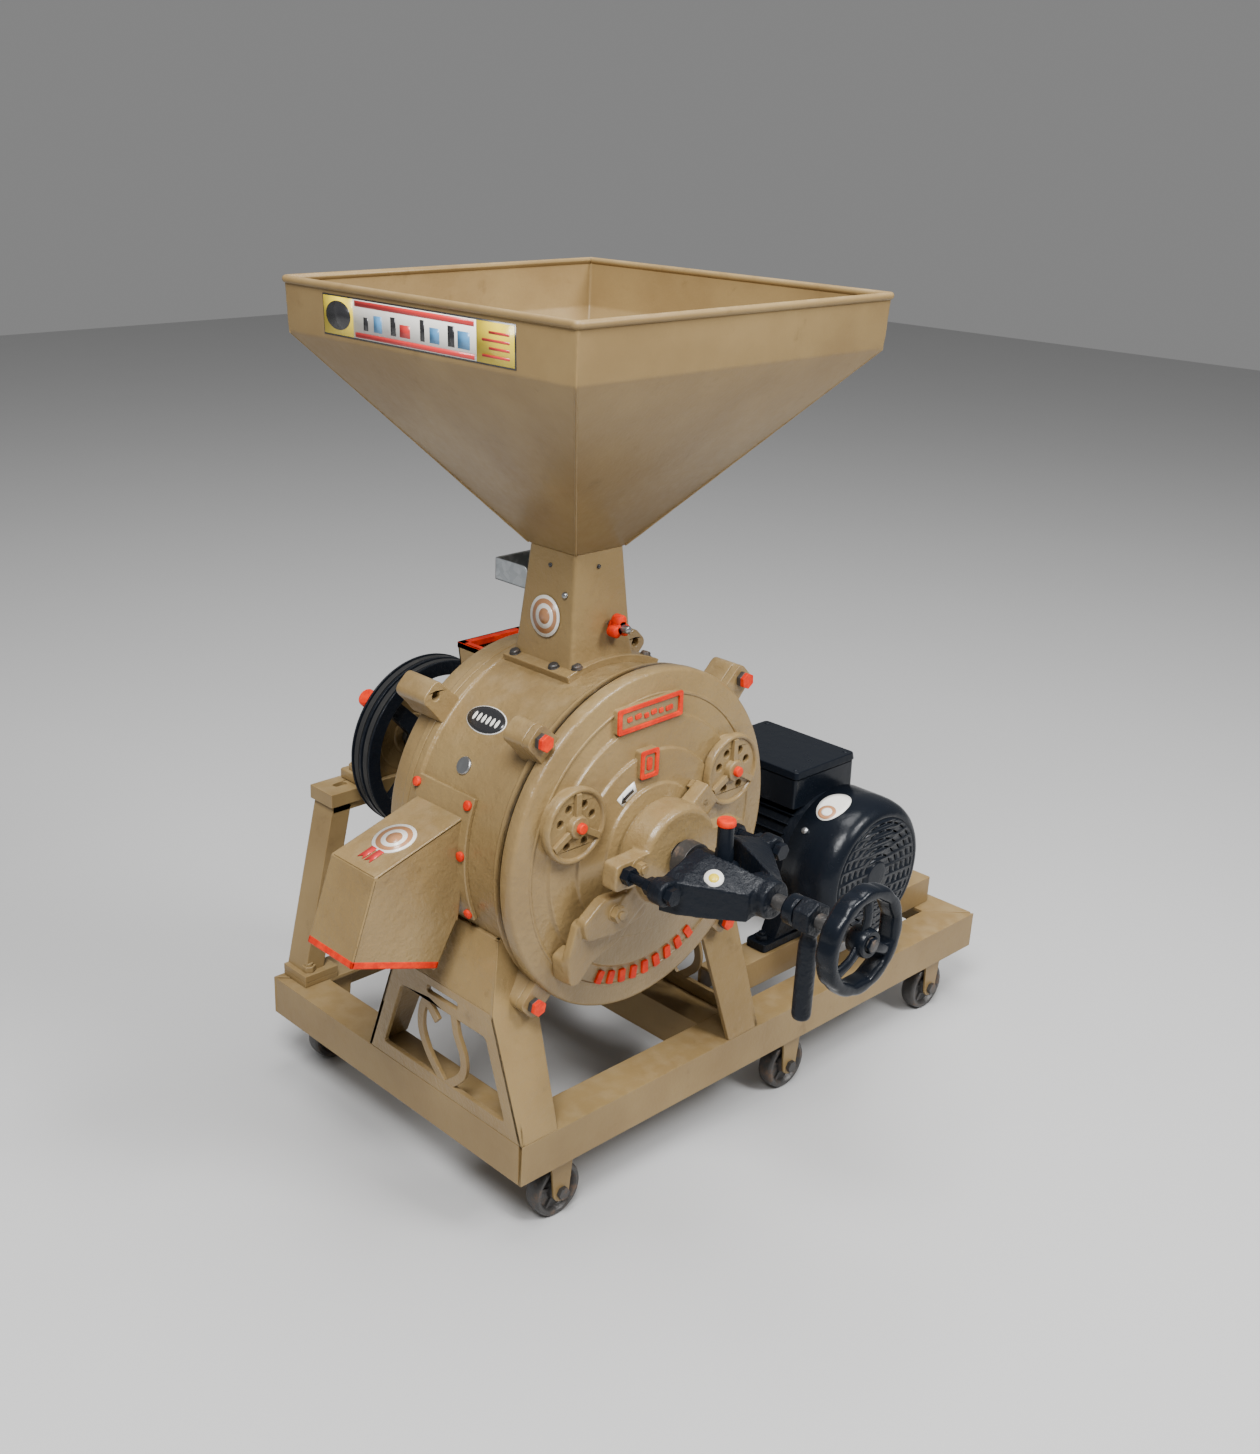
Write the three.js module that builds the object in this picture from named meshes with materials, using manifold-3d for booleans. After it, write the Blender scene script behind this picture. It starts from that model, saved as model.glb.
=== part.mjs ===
// Stone flour mill with hopper, belt drive and electric motor on a caster base.
// Millimetres, +Z up. X runs along the base towards the motor, Y from the door side to the rear.
// Everything is drawn from the base's front left corner, its top face at z = 0, and the finished
// group is then moved so that its origin is the middle of the floor under it.
import * as THREE from "three";
import { mergeVertices } from "three/addons/utils/BufferGeometryUtils.js";
import Module from "manifold-3d";

const wasm = await Module();
wasm.setup();

// ---- Driving dimensions ----

const fit = 0.3; // gap between pieces that touch
const running = 0.8; // gap round a turning shaft

// Base frame of welded angle iron
const baseLength = 1090;
const baseWidth = 610;
const railHeight = 65;
const railFlange = 65;
const railWall = 6;
const crossFlange = 100;

// Casters
const wheelRadius = 43;
const wheelWidth = 26;
const wheelBore = 7;
const casterHeight = 103; // underside of the base to the floor
const casterInset = 32; // wheel's middle plane from the base's outer face
const casterEndInset = 92;
const casterMiddleShift = 60;
const forkPlate = 4;

// Mill casing
const millX = 248; // shaft axis from the base's left face
const shaftHeight = 382; // shaft axis above the base
const doorRadius = 250;
const doorFront = 32;
const doorThickness = 22;
const flangeThickness = 16;
const barrelRadius = doorRadius - 15;
const barrelWall = 12;
const casingSides = 32; // facets round the casing
const seamY = 268; // where the front and rear shells meet
const rearWallY = 312; // back face of the casing
const lugReach = 40; // bolt circle outside the barrel
const lugWidth = 40;
const lugBack = 93;
const earThickness = 12; // door's ear in front of each lug
const boltEnd = 84;
const boltRadius = 8;
const boltHeadRadius = 12;
const clampX = doorRadius * 0.616;
const clampZ = doorRadius * 0.296;
const clampRadius = doorRadius * 0.216;
const inletHalf = 62;
const inletFoot = barrelRadius - 85; // from the shaft axis
const inletTop = barrelRadius - 17;
const inletReach = 58;

// Stones and shaft
const stoneRadius = barrelRadius - 32;
const stoneThickness = 62;
const stoneEye = 48;
const grindingGap = 1.5;
const backPlate = 24;
const shaftRadius = 19;
const shaftFront = -118;
const frontBearingRadius = 36;
const rearBearingRadius = 38;

// Stone adjusting gear on the door
const hubRadius = 74;
const hubFront = -38;
const earSpan = 108; // shaft axis to each yoke stud
const earZ = 8;
const studRadius = 7;
const footAngle = 219; // lower leg of the bridge, degrees from +X
const lowerLegReach = doorRadius - 24;
const upperLegReach = doorRadius * 0.432;
const yokeBackY = -92;
const yokeNoseY = -205;
const screwRadius = 11;
const thrustRadius = 26;
const leverLength = 150;
const leverRadius = 13;
const leverY = -262;
const handwheelRadius = 74;
const handwheelRim = 10;
const handwheelRimDepth = 15; // half the rim's length along the screw
const handwheelY = -345;

// Drive
const pulleyRadius = 142;
const motorPulleyRadius = 63;
const pulleyWidth = 46;
const grooveDepth = 14;
const grooveWidth = 17;
const groovePitch = 22;
const beltWidth = 10;
const beltThickness = 11;
const beltSink = 1; // belt's back under the pulley's rim

// Rear bearing pedestal
const pedestalY = baseWidth - 28; // middle of the pedestal's thickness
const pedestalDepth = 50;
const plummerHeight = 62; // shaft axis above the pedestal's top
const pedestalHeight = shaftHeight - plummerHeight;
const pedestalTopHalf = 154;
const pedestalFootHalf = 226;
const pedestalWall = 36;
const plummerRadius = 66;

// Stand
const standHalf = barrelRadius + 13; // shaft axis to the outer face of each side
const standWidth = 68;
const standWall = 8;
const standDepth = 350;
const standHeight = shaftHeight - 202; // side panel; the saddle rises above it to the casing
const standSaddle = 90;
const standSlope = 36; // how far the saddle leans inwards
const standLean = 0.36;

// Hopper, neck and feed gate
const hopperHalf = 279;
const hopperHeight = 348; // neck's top to the rim
const hopperBand = 75;
const hopperWall = 3;
const hopperY = 189;
const rimBead = 5;
const neckTopZ = barrelRadius + 158; // from the shaft axis
const neckTopHalf = 46;
const neckFootHalf = 56;
const neckWall = 6;
const neckFlangeLeft = 76; // reach of the flange each side of the shaft axis
const neckFlangeRight = 104;
const neckFlangeFront = 120;
const throatHalf = 38;
const gateReach = 68;
const gateHeight = 32;
const gateWidth = 76;
const gateZ = barrelRadius + 86; // from the shaft axis
const knobX = 16;
const knobZ = barrelRadius + 53;

// Discharge spout
const spoutFront = 150;
const spoutDepth = 98;
const spoutWall = 5;
const spoutTipX = -barrelRadius - 145; // from the shaft axis
const spoutHeadZ = 64;
const spoutFootZ = -92;

// Motor
const motorX = 746;
const motorShaftHeight = 190;
const motorRadius = 112;
const motorSides = 24; // facets round the motor
const motorFront = 80;
const motorShaftRadius = 16;
const cowlRadius = 124;
const cowlFront = -18;
const motorRailHeight = 50;
const motorRailWidth = 52;
const motorRailEnd = 26; // how far a motor rail stops short of the base's right face
const footHeight = 14;
const footFrontY = 108;
const footHalf = 138;
const terminalTop = 160; // from the motor's axis

// ---- Derived places ----

const wheelZ = -railHeight - casterHeight + wheelRadius;
const doorBack = doorFront + doorThickness;
const flangeFront = doorBack + fit;
const flangeBack = flangeFront + flangeThickness;
const rearShellFront = seamY + fit;
const lugCircle = barrelRadius + lugReach;
const rearLugFront = seamY - 14;
const rearLugBack = rearWallY + 8;
const bedFront = doorBack + 6;
const bedBack = bedFront + stoneThickness;
const runnerFront = bedBack + grindingGap;
const runnerBack = runnerFront + stoneThickness;
const crossX = millX + standHalf - standWidth - 1;
const hopperTopZ = neckTopZ + hopperHeight;
const pulleyY = pedestalY - 74;
const shaftBack = pedestalY + 24;
const motorBack = pulleyY - 113;
const footRearY = motorBack - 73;

// ---- Materials ----

const finishes = {
  enamel: { color: 0x9a8259, roughness: 0.38, metalness: 0.1 },
  black: { color: 0x16181b, roughness: 0.32, metalness: 0.1 },
  red: { color: 0xd8331c, roughness: 0.45, metalness: 0 },
  steel: { color: 0x8d9093, roughness: 0.35, metalness: 0.9 },
  zinc: { color: 0xa9b3b8, roughness: 0.4, metalness: 0.8 },
  stone: { color: 0xb9b2a4, roughness: 0.95, metalness: 0 },
  iron: { color: 0x4b4a48, roughness: 0.6, metalness: 0.6 },
  rubber: { color: 0x1b1b1b, roughness: 0.85, metalness: 0 },
};

// ---- Solid helpers ----

// A closed geometry as a solid that can be joined and cut.
function solidOf(geometry) {
  const bare = geometry.index ? geometry.toNonIndexed() : geometry.clone();
  for (const name of Object.keys(bare.attributes)) {
    if (name !== "position") bare.deleteAttribute(name);
  }
  const merged = mergeVertices(bare, 1e-4);
  const points = new Float32Array(merged.attributes.position.array);
  const faces = new Uint32Array(merged.index.array);
  if (signedVolume(points, faces) < 0) faces.reverse();
  return new wasm.Manifold(new wasm.Mesh({ numProp: 3, vertProperties: points, triVerts: faces }));
}

// Six times the volume; negative where the faces point inwards.
function signedVolume(points, faces) {
  const corner = (i) => new THREE.Vector3().fromArray(points, 3 * faces[i]);
  let volume = 0;
  for (let i = 0; i < faces.length; i += 3) volume += corner(i).dot(corner(i + 1).cross(corner(i + 2)));
  return volume;
}

function geometryOf(solid) {
  const mesh = solid.getMesh();
  const geometry = new THREE.BufferGeometry();
  geometry.setAttribute("position", new THREE.BufferAttribute(mesh.vertProperties, 3));
  geometry.setIndex(new THREE.BufferAttribute(mesh.triVerts, 1));
  geometry.computeVertexNormals();
  return geometry;
}

const join = (...solids) => solids.reduce((all, next) => all.add(next));
const cut = (solid, ...tools) => tools.reduce((left, tool) => left.subtract(tool), solid);

// Axis-aligned block between two corners.
function block(x0, x1, y0, y1, z0, z1) {
  const geometry = new THREE.BoxGeometry(x1 - x0, y1 - y0, z1 - z0);
  geometry.translate((x0 + x1) / 2, (y0 + y1) / 2, (z0 + z1) / 2);
  return solidOf(geometry);
}

// Ring or disc turned about the Y axis, from [radius, y] corners in either order.
function turned(corners, segments = 32) {
  const profile = [...corners, corners[0]].map(([r, y]) => new THREE.Vector2(r, y));
  return solidOf(new THREE.LatheGeometry(profile, segments));
}

// Round bar along Y.
const bar = (radius, y0, y1, segments = 16) =>
  turned([[0, y0], [radius, y0], [radius, y1], [0, y1]], segments);

// Tube along Y.
const tube = (outer, inner, y0, y1, segments = 24) =>
  turned([[inner, y0], [outer, y0], [outer, y1], [inner, y1]], segments);

const outline = (corners) => new THREE.Shape(corners.map(([a, b]) => new THREE.Vector2(a, b)));

// Plate whose outline lies in XY, XZ or YZ, between two levels of the third axis.
function plateXY(corners, z0, z1) {
  const geometry = new THREE.ExtrudeGeometry(outline(corners), { depth: z1 - z0, bevelEnabled: false });
  geometry.translate(0, 0, z0);
  return solidOf(geometry);
}

function plateXZ(corners, y0, y1) {
  const geometry = new THREE.ExtrudeGeometry(outline(corners), { depth: y1 - y0, bevelEnabled: false });
  geometry.rotateX(Math.PI / 2);
  geometry.translate(0, y1, 0);
  return solidOf(geometry);
}

const standUpAlongX = new THREE.Matrix4().makeBasis(
  new THREE.Vector3(0, 1, 0),
  new THREE.Vector3(0, 0, 1),
  new THREE.Vector3(1, 0, 0),
);

function plateYZ(corners, x0, x1) {
  const geometry = new THREE.ExtrudeGeometry(outline(corners), { depth: x1 - x0, bevelEnabled: false });
  geometry.applyMatrix4(standUpAlongX);
  geometry.translate(x0, 0, 0);
  return solidOf(geometry);
}

// Straight-sided solid between two convex rings of as many points, each [x, y, z].
function loft(ringA, ringB) {
  const n = ringA.length;
  const faces = [];
  for (let i = 1; i < n - 1; i++) faces.push(0, i + 1, i, n, n + i, n + i + 1);
  for (let i = 0; i < n; i++) {
    const next = (i + 1) % n;
    faces.push(i, next, next + n, i, next + n, i + n);
  }
  const geometry = new THREE.BufferGeometry();
  const points = new Float32Array([...ringA, ...ringB].flat());
  geometry.setAttribute("position", new THREE.BufferAttribute(points, 3));
  geometry.setIndex(faces);
  return solidOf(geometry);
}

// Block whose rectangle changes from the lower level to the upper one: [x0, x1, y0, y1] each.
function tapered(lower, upper, z0, z1) {
  const ring = ([x0, x1, y0, y1], z) => [[x0, y0, z], [x1, y0, z], [x1, y1, z], [x0, y1, z]];
  return loft(ring(lower, z0), ring(upper, z1));
}

// Solid between two XZ sections at two places along Y.
const loftY = (sectionA, yA, sectionB, yB) =>
  loft(sectionA.map(([x, z]) => [x, yA, z]), sectionB.map(([x, z]) => [x, yB, z]));

// Round bar along Y through (x, z).
function rod(radius, y0, y1, x, z, segments = 16) {
  const geometry = new THREE.CylinderGeometry(radius, radius, y1 - y0, segments);
  geometry.translate(x, (y0 + y1) / 2, z);
  return solidOf(geometry);
}

// Upright round bar through (x, y).
function post(radius, z0, z1, x, y, segments = 16) {
  const geometry = new THREE.CylinderGeometry(radius, radius, z1 - z0, segments);
  geometry.rotateX(Math.PI / 2);
  geometry.translate(x, y, (z0 + z1) / 2);
  return solidOf(geometry);
}

// Points on an arc about the origin, angles in degrees.
function arc(radius, from, to, steps) {
  const points = [];
  for (let i = 0; i <= steps; i++) {
    const angle = THREE.MathUtils.degToRad(from + ((to - from) * i) / steps);
    points.push([radius * Math.cos(angle), radius * Math.sin(angle)]);
  }
  return points;
}

// Part of a ring about the Y axis, in the XZ plane.
const ringSector = (outer, inner, from, to, y0, y1, steps = 8) =>
  plateXZ([...arc(outer, from, to, steps), ...arc(inner, to, from, steps)], y0, y1);

const rectangle = (half, y, halfY = half) => [-half, half, y - halfY, y + halfY];

// ---- Scene graph ----

const mill = new THREE.Group();
const frame = new THREE.Group();
const drivetrain = new THREE.Group();
const motor = new THREE.Group();
mill.add(frame, drivetrain, motor);
drivetrain.position.set(millX, 0, shaftHeight); // origin on the shaft axis, level with the door side
motor.position.set(motorX, 0, motorShaftHeight);

function add(parent, name, solid, finish, place = [0, 0, 0]) {
  const mesh = new THREE.Mesh(geometryOf(solid), new THREE.MeshStandardMaterial(finishes[finish]));
  mesh.name = name;
  mesh.position.set(...place);
  parent.add(mesh);
}

// ---- Base frame ----

function baseRails() {
  const long = [[0, 0], [baseLength, 0], [baseLength - railFlange, railFlange], [railFlange, railFlange]];
  const mitre = fit * 1.6;
  const legTop = -railWall / 2;
  const legEnd = railWall + fit;
  const short = [
    [0, legEnd],
    [legEnd - mitre, legEnd],
    [railFlange, railFlange + mitre],
    [railFlange, baseWidth - railFlange - mitre],
    [legEnd - mitre, baseWidth - legEnd],
    [0, baseWidth - legEnd],
  ];
  const front = join(
    plateXY(long, -railWall, 0),
    block(0, baseLength, 0, railWall, -railHeight, legTop),
  );
  const rear = join(
    plateXY(long.map(([x, y]) => [x, baseWidth - y]), -railWall, 0),
    block(0, baseLength, baseWidth - railWall, baseWidth, -railHeight, legTop),
  );
  const left = join(
    plateXY(short, -railWall, 0),
    block(0, railWall, legEnd, baseWidth - legEnd, -railHeight, legTop),
  );
  const right = join(
    plateXY(short.map(([x, y]) => [baseLength - x, y]), -railWall, 0),
    block(baseLength - railWall, baseLength, legEnd, baseWidth - legEnd, -railHeight, legTop),
  );
  add(frame, "base_rail_front", front, "enamel");
  add(frame, "base_rail_rear", rear, "enamel");
  add(frame, "base_rail_left", left, "enamel");
  add(frame, "base_rail_right", right, "enamel");
}

function baseCrossMember() {
  const y0 = railFlange + fit;
  const y1 = baseWidth - railFlange - fit;
  const angle = join(
    block(crossX, crossX + crossFlange, y0, y1, -railWall, 0),
    block(crossX, crossX + railWall, y0, y1, -railHeight, -railWall / 2),
  );
  add(frame, "base_cross_member", angle, "enamel");
}

// Upturned channels that carry the motor's feet and let it slide to tighten the belts.
function motorRails() {
  const start = millX + standHalf + 4;
  const end = baseLength - motorRailEnd;
  const half = motorRailWidth / 2;
  for (const [name, footY] of [["motor_rail_front", footFrontY], ["motor_rail_rear", footRearY]]) {
    const section = [
      [-half, fit], [-half, motorRailHeight], [half, motorRailHeight], [half, fit],
      [half - railWall, fit], [half - railWall, motorRailHeight - railWall],
      [-half + railWall, motorRailHeight - railWall], [-half + railWall, fit],
    ];
    add(frame, name, plateYZ(section, start, end), "enamel", [0, footY, 0]);
  }
}

// ---- Casters ----

// Origin on the wheel's centre; the fork's plate is welded under the rail's flange.
function casterFork() {
  const plateTop = -railWall - fit - wheelZ;
  const legInner = wheelWidth / 2 + 2;
  const legOuter = legInner + forkPlate;
  const leg = [...arc(14, 180, 360, 4), [28, plateTop - forkPlate], [-28, plateTop - forkPlate]];
  const axle = wheelBore - 1;
  return join(
    block(-30, 30, -legOuter, legOuter, plateTop - forkPlate - 1, plateTop),
    plateXZ(leg, -legOuter, -legInner),
    plateXZ(leg, legInner, legOuter),
    bar(axle, -legOuter - 4, legOuter + 4, 8),
    bar(10, -legOuter - 7, -legOuter + 1, 6),
    bar(10, legOuter - 1, legOuter + 7, 6),
  );
}

function casterWheel() {
  const half = wheelWidth / 2;
  const web = half - 6;
  return turned(
    [
      [wheelBore, -web], [wheelRadius - 10, -web], [wheelRadius - 9, -half], [wheelRadius, -half],
      [wheelRadius, half], [wheelRadius - 9, half], [wheelRadius - 10, web], [wheelBore, web],
    ],
    16,
  );
}

function casters() {
  const middle = baseLength / 2 + casterMiddleShift;
  const places = [
    ["front_left", casterEndInset, casterInset],
    ["front_middle", middle, casterInset],
    ["front_right", baseLength - casterEndInset, casterInset],
    ["rear_left", casterEndInset, baseWidth - casterInset],
    ["rear_middle", middle, baseWidth - casterInset],
    ["rear_right", baseLength - casterEndInset, baseWidth - casterInset],
  ];
  for (const [side, x, y] of places) {
    add(frame, "caster_fork_" + side, casterFork(), "enamel", [x, y, wheelZ]);
    add(frame, "caster_wheel_" + side, casterWheel(), "iron", [x, y, wheelZ]);
  }
}

// ---- Stand under the casing (origin on the shaft axis from here on) ----

// Scroll bar of constant width through a few points of the YZ plane.
function scroll(points, width, x0, x1) {
  const curve = new THREE.CatmullRomCurve3(points.map(([y, z]) => new THREE.Vector3(y, z, 0)));
  const steps = 10;
  const left = [];
  const right = [];
  for (let i = 0; i <= steps; i++) {
    const at = curve.getPoint(i / steps);
    const along = curve.getTangent(i / steps);
    left.push([at.x - (along.y * width) / 2, at.y + (along.x * width) / 2]);
    right.unshift([at.x + (along.y * width) / 2, at.y - (along.x * width) / 2]);
  }
  return plateYZ([...left, ...right], x0, x1);
}

function standSide(side) {
  const foot = -shaftHeight + fit;
  const top = -shaftHeight + standHeight;
  const saddle = top + standSaddle;
  const face = side * standHalf;
  const inwards = (x) => face - side * x;
  const span = (a, b) => [Math.min(inwards(a), inwards(b)), Math.max(inwards(a), inwards(b))];
  const lean = standLean * standHeight;
  const leanUp = standLean * (standHeight + standSaddle);
  const rise = standHeight / 180;
  const deep = standDepth / 350;
  const frontLeg = (z) => [z * standLean, z * standLean + standWall];

  const panelEdge = [
    [0, foot], [standDepth, foot], [standDepth - lean, top], [lean, top],
  ];
  const windowEdge = [
    [38 * deep, foot + 22], [standDepth - 38 * deep, foot + 22],
    [standDepth - 38 * deep - lean * 0.66, top - 42], [38 * deep + lean * 0.66, top - 42],
  ];
  const [px0, px1] = span(0, standWall);
  const middle = standDepth / 2;
  const panel = join(
    cut(
      plateYZ(panelEdge, px0, px1),
      plateYZ(windowEdge, px0 - 1, px1 + 1),
      block(px0 - 1, px1 + 1, middle - 34, middle + 34, top - 25, top - 15),
    ),
    scroll(
      [
        [middle - 8, foot + 12], [middle + 32 * deep, foot + 52 * rise], [middle + 50 * deep, foot + 92 * rise],
        [middle + 40 * deep, top - 46], [middle + 12 * deep, top - 66 * rise],
      ],
      11, px0, px1,
    ),
    scroll(
      [
        [middle - 2, foot + 12], [middle - 42 * deep, foot + 48 * rise], [middle - 46 * deep, foot + 80 * rise],
        [middle - 30 * deep, top - 66 * rise], [middle - 24 * deep, top - 32],
      ],
      11, px0, px1,
    ),
  );

  const legs = [];
  for (const flip of [(y) => y, (y) => standDepth - y]) {
    const range = (pair) => pair.map(flip).sort((a, b) => a - b);
    const [x0, x1] = span(0, standWidth);
    const [u0, u1] = span(0, standWidth + 12);
    const [t0, t1] = span(standSlope, standWidth + 46);
    legs.push(
      tapered([x0, x1, ...range([0, standWall])], [u0, u1, ...range([lean, lean + standWall])], foot, top),
      tapered(
        [u0, u1, ...range([lean, lean + standWall])],
        [t0, t1, ...range([leanUp, leanUp + standWall])],
        top, saddle,
      ),
    );
  }
  const shoulder = [
    [inwards(0), top - standWall], [inwards(standWall), top - standWall - 4],
    [inwards(standSlope + standWall), saddle], [inwards(standSlope), saddle],
  ];
  const room = join(
    bar(barrelRadius + fit, flangeBack - 40, rearWallY + 40, casingSides),
    bar(doorRadius + 6, flangeBack - 60, flangeBack + 7, casingSides),
    bar(barrelRadius + 4 + fit, seamY - 16, rearShellFront + 15, casingSides),
  );
  return cut(join(panel, ...legs, plateXZ(shoulder, lean, standDepth - lean)), room, ...lugRoom(fit + 0.4));
}

// ---- Casing ----

const lugAngles = [45, 135, 225, 315];
const onCircle = (radius, degrees) => {
  const angle = THREE.MathUtils.degToRad(degrees);
  return [radius * Math.cos(angle), radius * Math.sin(angle)];
};

// Outline of a lug that stands out of the barrel: square, with its outer corners cut.
function lugOutline(degrees, grow = 0) {
  const half = lugWidth / 2 + grow;
  const reach = lugCircle + lugWidth / 2 - 4 + grow;
  const corners = [
    [barrelRadius - 7, -half], [reach - 8, -half], [reach, -half + 8],
    [reach, half - 8], [reach - 8, half], [barrelRadius - 7, half],
  ];
  const angle = THREE.MathUtils.degToRad(degrees);
  const cos = Math.cos(angle);
  const sin = Math.sin(angle);
  return corners.map(([r, t]) => [r * cos - t * sin, r * sin + t * cos]);
}

// Room that other castings leave round the lugs of both shells.
const lugRoom = (grow) =>
  lugAngles.flatMap((angle) => [
    plateXZ(lugOutline(angle, grow), doorFront - grow, lugBack + grow),
    plateXZ(lugOutline(angle, grow), rearLugFront - grow, rearLugBack + grow),
  ]);

const boltHole = (degrees, y0, y1, radius) => {
  const [x, z] = onCircle(lugCircle, degrees);
  return rod(radius, y0, y1, x, z, 12);
};

function frontShell() {
  const inner = barrelRadius - barrelWall;
  const ring = turned(
    [
      [inner, flangeFront], [doorRadius - 2, flangeFront], [doorRadius - 2, flangeBack],
      [barrelRadius, flangeBack + 6], [barrelRadius, seamY - 14], [barrelRadius + 4, seamY - 12],
      [barrelRadius + 4, seamY], [inner, seamY],
    ],
    casingSides,
  );
  const lugs = lugAngles.map((angle) => plateXZ(lugOutline(angle), flangeFront, lugBack));
  const holes = lugAngles.map((angle) => boltHole(angle, flangeFront - 1, boltEnd + 1, boltRadius + fit));
  const spoutMouth = block(
    -barrelRadius - 40, -barrelRadius + 60,
    spoutFront + spoutWall + 3, spoutFront + spoutDepth - spoutWall - 3,
    spoutFootZ + 12, spoutHeadZ - 14,
  );
  const feedMouth = block(-throatHalf, throatHalf, hopperY - throatHalf, hopperY + throatHalf, 180, 300);
  return cut(join(ring, ...lugs), ...holes, spoutMouth, feedMouth);
}

function frontDoor() {
  const bore = shaftRadius + running + 4;
  const collar = doorFront - 24;
  const disc = turned(
    [
      [bore, doorBack], [doorRadius, doorBack], [doorRadius, doorFront + 4], [doorRadius - 4, doorFront],
      [doorRadius * 0.75, doorFront], [doorRadius * 0.74, doorFront - 6], [doorRadius * 0.56, doorFront - 6],
      [doorRadius * 0.55, doorFront - 12], [doorRadius * 0.37, doorFront - 12],
      [doorRadius * 0.36, doorFront - 18], [doorRadius * 0.27, doorFront - 18],
      [doorRadius * 0.26, collar], [bore, collar],
    ],
    casingSides,
  );
  const ears = lugAngles.map((angle) => plateXZ(lugOutline(angle), doorBack - earThickness, doorBack));
  const holes = lugAngles.map((angle) => boltHole(angle, doorFront, doorBack + 1, boltRadius + fit));
  const pads = [-1, 1].map((side) => rod(clampRadius - 8, doorFront - 12, doorFront + 6, side * clampX, clampZ, 16));
  return cut(join(disc, ...ears, ...pads), ...holes);
}

function doorBolt() {
  const head = doorBack - earThickness - fit;
  return turned(
    [
      [0, head - 14], [boltHeadRadius - 3, head - 14], [boltHeadRadius, head - 10], [boltHeadRadius, head],
      [boltRadius, head], [boltRadius, boltEnd], [0, boltEnd],
    ],
    12,
  );
}

// Round plate that holds the fixed stone against the door: raised rim, three spokes, five holes.
function stoneClamp() {
  const back = doorFront - 12 - fit;
  const face = back - 7;
  const plate = turned(
    [
      [0, back], [clampRadius, back], [clampRadius, face - 5], [clampRadius - 5, face - 7],
      [clampRadius - 8, face], [15, face], [13, face - 8], [7.5, face - 8], [7.5, face - 20], [0, face - 20],
    ],
    16,
  );
  const spokes = [90, 210, 330].map((angle) => {
    const [x, z] = onCircle(clampRadius - 6, angle);
    const [sx, sz] = onCircle(4, angle + 90);
    return plateXZ([[sx, sz], [-sx, -sz], [x - sx, z - sz], [x + sx, z + sz]], face - 5, back - 1);
  });
  const holes = [30, 118, 152, 238, 270].map((angle) => {
    const [x, z] = onCircle(clampRadius * 0.6, angle);
    return rod(6, face - 10, back + 1, x, z, 6);
  });
  return join(cut(plate, ...holes), ...spokes);
}

function rearShell() {
  const inner = barrelRadius - barrelWall;
  const bore = shaftRadius + running;
  const pan = turned(
    [
      [bore, rearWallY - barrelWall], [inner, rearWallY - barrelWall], [inner, rearShellFront],
      [barrelRadius + 4, rearShellFront], [barrelRadius + 4, rearShellFront + 12],
      [barrelRadius, rearShellFront + 14], [barrelRadius, rearWallY - 5], [barrelRadius - 5, rearWallY],
      [56, rearWallY], [50, rearWallY + 22], [bore, rearWallY + 22],
    ],
    casingSides,
  );
  const lugs = lugAngles.map((angle) => plateXZ(lugOutline(angle), rearLugFront, rearLugBack));
  const overBarrel = bar(barrelRadius + 4 + fit, 0, rearShellFront - 0.01, casingSides);
  const holes = lugAngles.map((angle) => boltHole(angle, seamY - 20, seamY + 16, 6));
  const airMouth = block(-inletHalf + 8, inletHalf - 8, rearWallY - 30, rearWallY + 1, inletFoot + 8, inletTop - 24);
  return cut(join(pan, ...lugs.map((lug) => cut(lug, overBarrel, bar(inner + 1, 0, 400)))), ...holes, airMouth);
}

// Open-topped sheet box behind the casing that lets air in.
function airInlet() {
  const y0 = rearWallY + 8 + fit;
  const y1 = rearWallY + inletReach;
  const wall = 4;
  const mouthTop = inletTop - 24;
  const shell = cut(
    tapered(
      [-inletHalf, inletHalf, rearWallY + fit, y1 - 14],
      [-inletHalf, inletHalf, rearWallY + fit, y1],
      inletFoot, inletTop,
    ),
    tapered(
      [-inletHalf + wall, inletHalf - wall, rearWallY + wall, y1 - 14 - wall],
      [-inletHalf + wall, inletHalf - wall, rearWallY + wall, y1 - wall],
      inletFoot + wall, inletTop + 1,
    ),
    block(-inletHalf + 8, inletHalf - 8, rearWallY - 1, y0 + wall, inletFoot + 8, mouthTop),
  );
  return shell;
}

// ---- Stones, shaft and bearings ----

const stoneDisc = (y0, y1) => tube(stoneRadius, stoneEye, y0, y1, 28);

function mainShaft() {
  return turned(
    [
      [0, shaftFront], [shaftRadius - 4, shaftFront], [shaftRadius - 4, hubFront - 6], [shaftRadius, hubFront - 5],
      [shaftRadius, shaftBack - 2], [shaftRadius - 2, shaftBack], [0, shaftBack],
    ],
    16,
  );
}

const ballBearing = (outer, y0, y1) => tube(outer, shaftRadius + fit, y0, y1, 20);

// ---- Stone adjusting gear ----

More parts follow.
